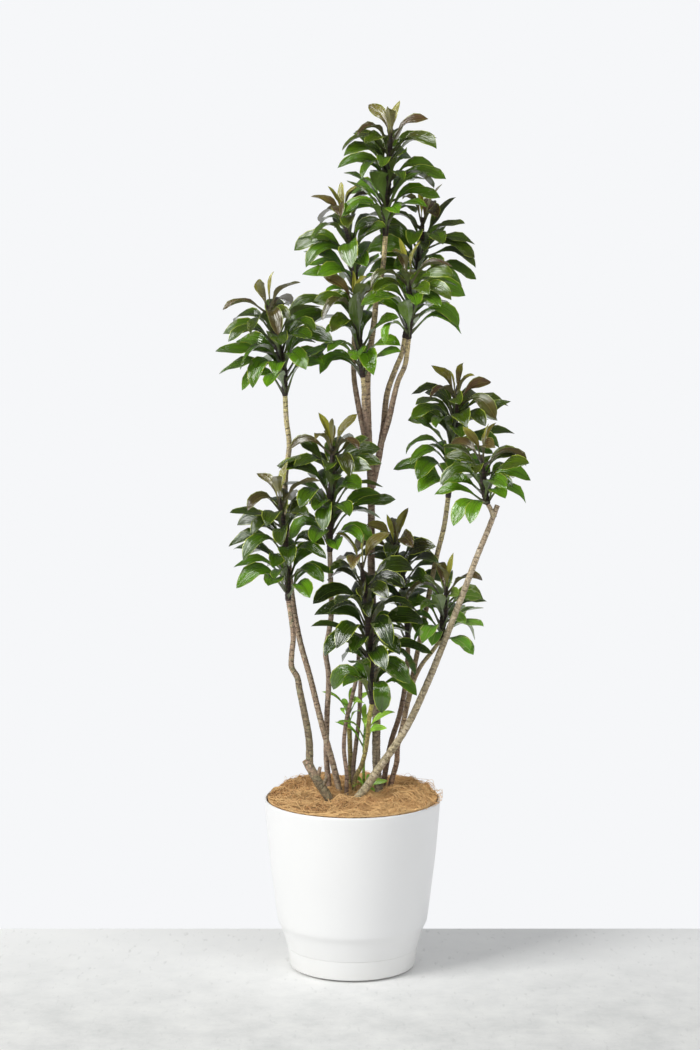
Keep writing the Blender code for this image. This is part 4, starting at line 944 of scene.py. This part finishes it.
class LeafyStem:
    """Where leaves stand round a stem: a ring grid with places for them, taken one by one."""

    def __init__(self, name, line, radii, rows, seat=None):
        self.name, self.line, self.rows = name, line, rows
        self.free = {(row, k) for row in range(rows - 1) for k in range(STEM_SIDES)}
        self.packed = packed_corners(name)
        self.rings = []
        self.grown = []
        for row in range(rows + 1):
            share = row / rows
            centre, up = along(line, share)
            if row == 0:
                centre, up = seat or (centre, up)
                centre = centre + up * GAP
            first = (Vector((1, 0, 0)) - up * up.x).normalized()
            second = up.cross(first)
            ring = []
            for k in range(STEM_SIDES):
                turn = math.tau * (k + row * RING_STAGGER) / STEM_SIDES
                spread = first * math.cos(turn) + second * math.sin(turn)
                ring.append(centre + spread * blend(radii, share))
            self.rings.append(ring)

    def place_for(self, height, azimuth):
        """The middle of the free place nearest to a height share and an azimuth."""
        row_wanted = height * self.rows - 0.5

        def distance(place):
            row, k = place
            middle = 360 * (k + 0.5 + (row + 0.5) * RING_STAGGER) / STEM_SIDES
            turn = (middle - azimuth + 180) % 360 - 180
            return abs(row - row_wanted) + abs(turn) / 45

        nearest = min(sorted(self.free), key=distance)
        self.free.discard(nearest)
        row, k = nearest
        after = (k + 1) % STEM_SIDES
        low, high = self.rings[row], self.rings[row + 1]
        return (high[k] + high[after] + low[after] + low[k]) / 4

    def grow(self, leaf, width, age, draw, wander=1.0):
        """A leaf as wanted, or turned aside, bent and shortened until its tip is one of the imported
        solid, which grew it at the first try that had room. A leaf that isn't there is left out."""
        root = self.place_for(leaf.height, leaf.azimuth)
        up = along(self.line, leaf.height)[1]
        sweep = draw.uniform(-SWEEP, SWEEP) * wander
        twist = draw.uniform(-TWIST, TWIST) * wander
        for attempt in range(TRIES):
            loose = attempt / TRIES
            trial = leaf._replace(
                azimuth=leaf.azimuth + draw.uniform(-ASIDE_TURN, ASIDE_TURN) * loose,
                lean=leaf.lean + draw.uniform(*ASIDE_LEAN) * loose,
                bend=leaf.bend + draw.uniform(*ASIDE_BEND) * loose,
                length=leaf.length * (1 - ASIDE_SHORTER * loose),
            )
            steps = midrib(root, up, trial, sweep * (1 - loose), twist)
            if self.packed.find(steps[-1][0])[2] < TIP_MATCH:
                self.grown.append((trial, width, age, steps))
                return


# The leaf's blank: six corners, namely the two edges, the rib, a point between on either side, and
# the keel under the rib. It is extruded ring by ring and drawn together at the tip.
SECTION = ((1, 0), (0.5, 0), (0, 0), (-0.5, 0), (-1, 0), (0, -1))
KEEL = -0.5  # corners lower than this are the keel
bpy.ops.mesh.primitive_circle_add(
    vertices=len(SECTION), radius=1, location=(0, 0, 0), fill_type="NGON"
)
leaf_blank = bpy.context.object
for v, corner in zip(leaf_blank.data.vertices, SECTION):
    v.co = (*corner, 0)
leaf_corners = drawn_out(leaf_blank, len(LEAF_RINGS) - 1, pointed=True)
shares = [LEAF_RINGS[round(p.z)] / PATH_STEPS for p in leaf_corners]
set_values(leaf_blank, "across", [p.x for p in leaf_corners])
set_values(leaf_blank, "along", shares)
faces = leaf_blank.data.polygons
under = [float(any(leaf_corners[k].y < KEEL for k in face.vertices)) for face in faces]
set_values(leaf_blank, "under", under, "FACE")


def leaf_points(leaf, width, steps, furled, draw):
    """The blank's corners laid along a leaf's midrib, in millimetres."""
    wave = draw.uniform(0, math.tau)
    count = draw.uniform(1.2, 2.2)
    wrung = math.radians(draw.uniform(-TIP_TWIST, TIP_TWIST))
    hook = TIP_HOOK * draw.random() ** 5
    places = []
    for corner, share in zip(leaf_corners, shares):
        place, side, normal = steps[LEAF_RINGS[round(corner.z)]]
        place = place - normal * hook * max(0.0, (share - 0.8) / 0.2) ** 2
        if share == 1:
            places.append(place)
            continue
        half = half_width(share, leaf.length, width)
        half *= 1 - 0.4 * max(0.0, (share - 0.9) / 0.1)
        side, normal = rolled(side, normal, wrung * max(0.0, share - 0.3) ** 1.5)
        if share == 0:
            half *= CLASP
        fold = furled + (0.5 - 0.26 * share) + 0.4 * max(0.0, 1 - share / 0.3)
        rise = half * min(0.9, fold)
        reach = math.sqrt(half * half - rise * rise)
        ripple = half * EDGE_WAVE * corner.x**2 * min(1.0, max(0.0, (share - 0.25) / 0.2))
        ripple *= math.sin(wave + math.tau * count * share + corner.x)
        height = rise * abs(corner.x) * (1.65 - 0.85 * abs(corner.x)) + ripple + 0.35
        if corner.y < KEEL:
            height = -0.45 - 1.5 * max(0.0, 1 - share / 0.5)
        places.append(place + side * corner.x * reach + normal * height)
    return places


def leafy_piece(stem, radii, furled, skin, base_skin, slot, draw, lighter=0.0):
    """A stem with its leaves as one piece, in place of the node of the same name."""
    leaves = repeated(leaf_blank, f"{stem.name}_blades", len(stem.grown))
    points, ages, shades = [], [], []
    for leaf, width, age, steps in stem.grown:
        points += leaf_points(leaf, width, steps, furled, draw)
        ages += [age + draw.uniform(-0.07, 0.07)] * len(leaf_corners)
        # Painted light on a head's lowest leaves.
        lit_lowest = max(0.0, (age - 0.65) / 0.3) * LOWEST_LIT
        shades += [draw.random() + lighter + lit_lowest] * len(leaf_corners)
    fitted(leaves, points)
    set_values(leaves, "age", ages)
    set_values(leaves, "shade", shades)
    leaves.data.materials.append(skin)
    bpy.context.view_layer.objects.active = leaves
    leaves.select_set(True)
    bpy.ops.object.shade_smooth_by_angle(angle=math.radians(LEAF_ANGLE))
    foot, top = [sum(ring, Vector()) / len(ring) for ring in (stem.rings[0], stem.rings[-1])]
    route = [foot, *stem.line[1:-1], top]
    core = rod(f"{stem.name}_stem", route, radii, SHEATH_SIDES, SHEATH_STEP, SHEATH_SWELL, draw)
    core.data.materials.append(base_skin)
    placed(joined([leaves, core], f"{stem.name}_grown"), None, slot, stem.name)


def waxy_leaf(name, ages, under, margin, rib, blush, gloss):
    """A dracaena leaf's waxy skin: glossy above with long parallel veins, a thin pale margin, a
    paler rib, a dark stalk and a cloudy blush, and duller and greyer below. Colour runs from the
    youngest leaf's to the oldest's. Veins under 1 mm apart are drawn at about 3 mm to show."""
    made, node = blank_material(name)
    spot = node("TexCoord")
    across = node("Attribute", attribute_name="across")
    share = node("Attribute", attribute_name="along")
    age = node("Attribute", attribute_name="age")
    shade = node("Attribute", attribute_name="shade")
    below = node("Attribute", attribute_name="under")
    off = node("Math", [across], operation="ABSOLUTE")
    cloud = node("TexNoise", {"Vector": spot, "Scale": 26.0, "Detail": 3.0})
    drift = node("MapRange", {0: cloud, 3: -0.22, 4: 0.22})
    tipwards = node("MapRange", [share, 0.2, 1.0, 0.06, -0.08])
    aged = node("Math", [age, drift], operation="ADD")
    aged = node("Math", [aged, tipwards], operation="ADD")
    upper = node("ValToRGB", [aged], ages)
    moved = node("VectorMath", [spot, (3.0, 1.0, 5.0)], operation="ADD")
    flush = node("TexNoise", {"Vector": moved, "Scale": 17.0, "Detail": 2.0})
    young = node("MapRange", [age, 0.2, 0.75, 0.75, 0.12])
    flushed = node("MapRange", {0: flush, 1: 0.48, 2: 0.68, 4: young})
    upper = node("Mix", {0: flushed, 6: upper, 7: blush}, data_type="RGBA")
    streak_at = node("Math", [off, 9.0, shade], operation="MULTIPLY_ADD")
    streak_run = node("Math", [share, 1.6], operation="MULTIPLY")
    streak_place = node("CombineXYZ", [streak_at, streak_run, shade])
    streak = node("TexNoise", {"Vector": streak_place, "Scale": 1.0, "Detail": 2.5})
    streak_tone = node("MapRange", [streak, 0.3, 0.7, 0.78, 1.26])
    veined = node("HueSaturation", {"Color": upper, "Value": streak_tone})
    # Painted light and shade: a leaf's shade value, made of its head's place in the light, a random
    # share and more light on a head's lowest leaves, makes it lighter or darker.
    single = node("MapRange", [shade, -1.5, 3.5, 0.25, 2.15])
    toned = node("HueSaturation", {"Color": veined, "Value": single})
    ribbed = node("MapRange", [off, 0.03, 0.09, 0.55, 0.0])
    with_rib = node("Mix", {0: ribbed, 6: toned, 7: rib}, data_type="RGBA")
    edged = node("MapRange", [off, 0.87, 0.95, 0.0, 0.95])
    with_edge = node("Mix", {0: edged, 6: with_rib, 7: margin}, data_type="RGBA")
    underside = node("Mix", {0: 0.62, 6: toned, 7: under}, data_type="RGBA")
    sided = node("Mix", {0: below, 6: with_edge, 7: underside}, data_type="RGBA")
    stalk = node("MapRange", [share, 0.1, 0.32, 0.75, 0.0])
    paint = node("Mix", {0: stalk, 6: sided, 7: "#3d3524"}, data_type="RGBA")
    comb = node("Math", [off, 34.0], operation="MULTIPLY")
    veins = node("Math", [comb], operation="SINE")
    relief = node("Bump", {"Height": veins, "Strength": 0.3, "Distance": 0.0009})
    uneven = {"Height": streak, "Strength": 0.45, "Distance": 0.003, "Normal": relief}
    wavy = node("Bump", uneven)
    smear = node("MapRange", {0: cloud, 3: gloss - 0.07, 4: gloss + 0.07})
    rough = node("Math", [below, 0.22, smear], operation="MULTIPLY_ADD")
    surface = {"Base Color": paint, "Roughness": rough, "Normal": wavy, "Specular IOR Level": 0.12}
    wax = {"Coat Weight": 1.0, "Coat IOR": 1.6, "Coat Roughness": 0.05, "Coat Normal": wavy}
    node("OutputMaterial", [node("BsdfPrincipled", {**surface, **wax})])
    return made


def leaf_bases(name, dark, light):
    """The papery dark bases of fallen and standing leaves round the stem, with lighter edges."""
    made, node = blank_material(name)
    run = node("Attribute", attribute_name="run")
    cloud = node("TexNoise", {"Vector": node("TexCoord"), "Scale": 120.0, "Detail": 3.0})
    turns = node("Math", [run, 0.5 / SHEATH_STEP, cloud], operation="MULTIPLY_ADD")
    phase = node("Math", [turns], operation="FRACT")
    paint = node("ValToRGB", [phase], ((0.0, dark), (0.7, dark), (1.0, light)))
    node("OutputMaterial", [node("BsdfPrincipled", {"Base Color": paint, "Roughness": 0.6})])
    return made


mature = waxy_leaf(
    "waxy_leaf_mature",
    ((0.0, "#514e1a"), (0.3, "#3c4d0b"), (0.62, "#42600f"), (1.0, "#4e7511")),
    under="#6b7446",
    margin="#a3b040",
    rib="#46581f",
    blush="#3a2f1c",
    gloss=0.19,
)
pale = waxy_leaf(
    "waxy_leaf_pale",
    ((0.0, "#7c9034"), (0.4, "#66862a"), (1.0, "#4f7c22")),
    under="#94a070",
    margin="#b9c468",
    rib="#9aab5a",
    blush="#5f7030",
    gloss=0.26,
)
dark_bases = leaf_bases("leaf_bases_purple", "#2a1f1a", "#4d3a2e")
rods = [cane for slot, tones, *canes in WOOD.values() for cane in canes]
ends = [(Vector(points[-2]), Vector(points[-1])) for points in rods]


def seat_under(foot):
    """The cane end that carries a leafy stem: its middle and the way it points."""
    before, end = min(ends, key=lambda points: (points[1] - Vector(foot)).length)
    return end, (end - before).normalized()


# The tuft at a head's tip: the youngest leaves, short, narrow, still rolled and almost upright,
# bronze to purple with a greyish bloom, and olive where they are about to open.
YOUNG_WIDTH = 0.35
SPIKE = 0.5  # by how much the youngest leaf of a tuft is narrower, being still rolled
YOUNG_FURLED = 0.2
YOUNG_STEM = 26.0
YOUNG_STEM_RADII = (4.6, 2.6)
YOUNG_STEM_ROWS = 4
YOUNG_LENGTHS = (100, 68)
YOUNG_SPREAD = 34
YOUNG_BENDS = (78, 8)
bronze = waxy_leaf(
    "waxy_leaf_young",
    ((0.0, "#b0ae3c"), (0.28, "#86802f"), (0.55, "#5a452a"), (0.85, "#45421f"), (1.0, "#3c4d1a")),
    under="#7e7a58",
    margin="#8e9a40",
    rib="#7a7440",
    blush="#4b2e28",
    gloss=0.25,
)

for head in HEADS:
    draw = random.Random(head.seed)
    looks = random.Random(head.seed + 100)
    top, up = along(head.stem, 1.0)
    line = [top, top + up * YOUNG_STEM]
    tuft = LeafyStem(f"{head.name}_young", line, YOUNG_STEM_RADII, YOUNG_STEM_ROWS)
    for k in range(head.young):
        share = k / (head.young - 1)
        leaf = Leaf(
            0.15 + 0.7 * share,
            head.seed * 40 + k * GOLDEN_ANGLE,
            blend(YOUNG_LENGTHS, share) + draw.uniform(-6, 6),
            head.young_lean * (1 - 0.7 * share) + YOUNG_SPREAD * (1 - share) ** 1.2,
            blend(YOUNG_BENDS, share),
        )
        tuft.grow(leaf, YOUNG_WIDTH * (1 - SPIKE * share**3), 0.85 - 0.8 * share, draw)
    rows = round((head.count + len(head.own)) * ROWS_PER_LEAF)
    seat = seat_under(head.stem[0])
    stem = LeafyStem(f"{head.name}_leaves", head.stem, HEAD_STEM_RADII, rows, seat)
    for height, *rest in head.own:
        leaf = Leaf(height / 100, *rest)
        stem.grow(leaf, LEAF_WIDTH, OLDEST - AGE_SPAN * leaf.height, draw, OWN_WANDER)
    for k in range(head.count):
        share = k / (head.count - 1)
        leaf = Leaf(
            LOWEST_LEAF + (HIGHEST_LEAF - LOWEST_LEAF) * share,
            head.seed * 57 + k * GOLDEN_ANGLE + draw.uniform(-SPIRAL_TURN, SPIRAL_TURN),
            blend(head.lengths, share) * draw.uniform(*SPIRAL_LENGTH),
            blend(head.leans, share) + draw.uniform(*SPIRAL_LEAN),
            blend(head.bends, share) + draw.uniform(*SPIRAL_BEND),
        )
        stem.grow(leaf, LEAF_WIDTH, OLDEST - AGE_SPAN * share, draw)
    skin, slot = (pale, "pale_leaf") if head.name == "pale" else (mature, "green_leaf")
    lighter = LIGHTER.get(head.name, 0.0)
    leafy_piece(stem, HEAD_STEM_RADII, 0.0, skin, dark_bases, slot, looks, lighter)
    leafy_piece(tuft, YOUNG_STEM_RADII, YOUNG_FURLED, bronze, dark_bases, "young_leaf", looks)

# Shoots. Three small new plants low down, from a cut cane, a thin stem and the mat: bright green,
# with long thin leaves that have no dark stalk yet.
Shoot = namedtuple("Shoot", "name line count length lean seed lowest lighter")
SHOOTS = (
    Shoot("shoot_left", ((-6, 46, 448), (-7, 45, 470), (-10, 43, 492)), 7, 62, 34, 31, 0.2, 0.4),
    Shoot("shoot_right", ((22, 20, 404), (23, 18, 440), (24, 16, 462)), 9, 74, 30, 32, 0.2, 0.4),
    Shoot("shoot_low", ((24, 0, 275), (26, -2, 330), (28, -4, 362)), 6, 46, 40, 33, 0.68, -1.1),
)
SHOOT_WIDTH = 0.2
SHOOT_STEM_RADII = (3.2, 1.8)
SHOOT_ROWS_PER_LEAF = 0.8
SHOOT_BEND = 40
fresh = waxy_leaf(
    "waxy_leaf_shoot",
    ((0.0, "#a6d244"), (0.5, "#94c43c"), (1.0, "#7aae32")),
    under="#9cc458",
    margin="#b8d468",
    rib="#a4c858",
    blush="#7fae34",
    gloss=0.36,
)
green_bases = leaf_bases("leaf_bases_green", "#5f8030", "#9ab060")
for shoot in SHOOTS:
    draw, looks = random.Random(shoot.seed), random.Random(shoot.seed)
    rows = round(shoot.count * SHOOT_ROWS_PER_LEAF)
    stem = LeafyStem(shoot.name, shoot.line, SHOOT_STEM_RADII, rows)
    for k in range(shoot.count):
        height = shoot.lowest + (0.95 - shoot.lowest) * k / (shoot.count - 1)
        azimuth = shoot.seed * 57 + k * GOLDEN_ANGLE
        leaf = Leaf(height, azimuth, shoot.length, shoot.lean, SHOOT_BEND)
        stem.grow(leaf, SHOOT_WIDTH, 1 - k / shoot.count, draw)
    finish = (fresh, green_bases, "shoot_leaf", looks, shoot.lighter)
    leafy_piece(stem, SHOOT_STEM_RADII, 0.0, *finish)
bpy.data.objects.remove(leaf_blank, do_unlink=True)

# Room. A pale cast floor that ends at a bright white backdrop close behind the plant. Room, light
# and camera are in metres.
FLOOR_END = 0.232
ROOM_HALF = 6.0
BACKDROP_WHITE = "#f6f7f9"


def cast_floor():
    """Pale polished screed: mottled greys, darker flecks and short trowel scratches, a dull sheen,
    and painted light: paler towards the backdrop, as if its light fell on the floor there."""
    made, node = blank_material("cast_floor_pale")
    spot = node("TexCoord")
    mottle = {"Vector": spot, "Scale": 9.0, "Detail": 12.0, "Roughness": 0.72}
    greys = ((0.3, "#d0d1cf"), (0.5, "#e0e0de"), (0.7, "#ecece9"))
    paint = node("ValToRGB", [node("TexNoise", mottle)], greys)
    depth = node("SeparateXYZ", [spot]).node.outputs["Y"]
    # Painted light: paler towards the backdrop, where its light would fall on the floor.
    painted_backdrop_light = node("MapRange", [depth, -0.35, FLOOR_END, 0.0, 0.85])
    paint = node("Mix", {0: painted_backdrop_light, 6: paint, 7: "#fbfbfa"}, data_type="RGBA")
    swept = node("Mapping", {"Vector": spot, "Rotation": (0, 0, 0.3), "Scale": (95, 30, 1)})
    scratch = node("TexNoise", {"Vector": swept, "Scale": 1.0, "Detail": 5.0})
    scored = node("MapRange", [scratch, 0.6, 0.75, 0.0, 0.38])
    marked = node("Mix", {0: scored, 6: paint, 7: "#bfc0be"}, data_type="RGBA")
    node("OutputMaterial", [node("BsdfPrincipled", {"Base Color": marked, "Roughness": 0.7})])
    return made


def lit_backdrop():
    """White paper lit from behind: it shows no shadows and is as bright as the surroundings."""
    made, node = blank_material("backdrop_paper_white")
    node("OutputMaterial", [node("Emission", {"Color": BACKDROP_WHITE, "Strength": 1.0})])
    return made


for name, far, near, finish in (
    ("room_floor", FLOOR_END, -2 * ROOM_HALF, cast_floor()),
    ("room_backdrop", 2 * ROOM_HALF, FLOOR_END, lit_backdrop()),
):
    bpy.ops.mesh.primitive_plane_add(size=1, location=(0, (far + near) / 2, 0))
    bpy.ops.transform.resize(value=(2 * ROOM_HALF, far - near, 1))
    bpy.ops.object.transform_apply(location=True, rotation=True, scale=True)
    ground = bpy.context.object
    ground.name = name
    ground.data.materials.append(finish)

# Light. One large soft window light from the upper left in front, a weak fill from the right, a
# panel overhead that only shows as a gleam on shiny skins, and bright even surroundings, so that
# shadows stay pale.
LAMPS = (
    ("window", (-4.3, -3.0, 3.8), (0, 0, 0.8), 2.6, 312.0, "#fffffd"),
    ("gleam", (-1.75, -1.5, 4.1), (0, 0, 1.0), 1.9, 165.0, "#ffffff"),
    ("fill", (3.6, -4.3, 3.4), (0, 0, 0.8), 3.9, 134.0, "#fbfcff"),
)  # name, place, target, size, watts, colour
for name, place, target, size, power, colour in LAMPS:
    bpy.ops.object.light_add(type="AREA", location=place)
    lamp = bpy.context.object
    lamp.name = f"{name}_light"
    lamp.data.size = size
    lamp.data.energy = power
    lamp.data.color = linear(colour)[:3]
    lamp.visible_diffuse = name != "gleam"
    lamp.visible_glossy = name != "fill"
    lamp.rotation_euler = (Vector(target) - Vector(place)).to_track_quat("-Z", "Y").to_euler()
world = bpy.data.worlds.new("bright_room")
world.use_nodes = True
world.node_tree.nodes.clear()
node = partial(add_node, world.node_tree)
shown = node("Background", {"Color": BACKDROP_WHITE, "Strength": 1.0})
lighting = node("Background", {"Color": "#f6f8fa", "Strength": 0.42})
mirrored = node("Background", {"Color": "#f4f7fb", "Strength": 0.12})
rays = node("LightPath").node.outputs
unseen = node("MixShader", [rays["Is Glossy Ray"], lighting, mirrored])
node("OutputWorld", [node("MixShader", [rays["Is Camera Ray"], unseen, shown])])
bpy.context.scene.world = world
bpy.context.scene.view_settings.view_transform = "Standard"

# Camera. Eye height, looking a little down, with a long lens as in the photograph.
CAMERA_PLACE = (-0.0046, -4.6, 1.437)
CAMERA_DOWN = 7.41
bpy.ops.object.camera_add(
    location=CAMERA_PLACE, rotation=(math.radians(90 - CAMERA_DOWN), 0, 0)
)
camera = bpy.context.object
camera.data.lens = 85.9
camera.data.sensor_width = 36
bpy.context.scene.camera = camera
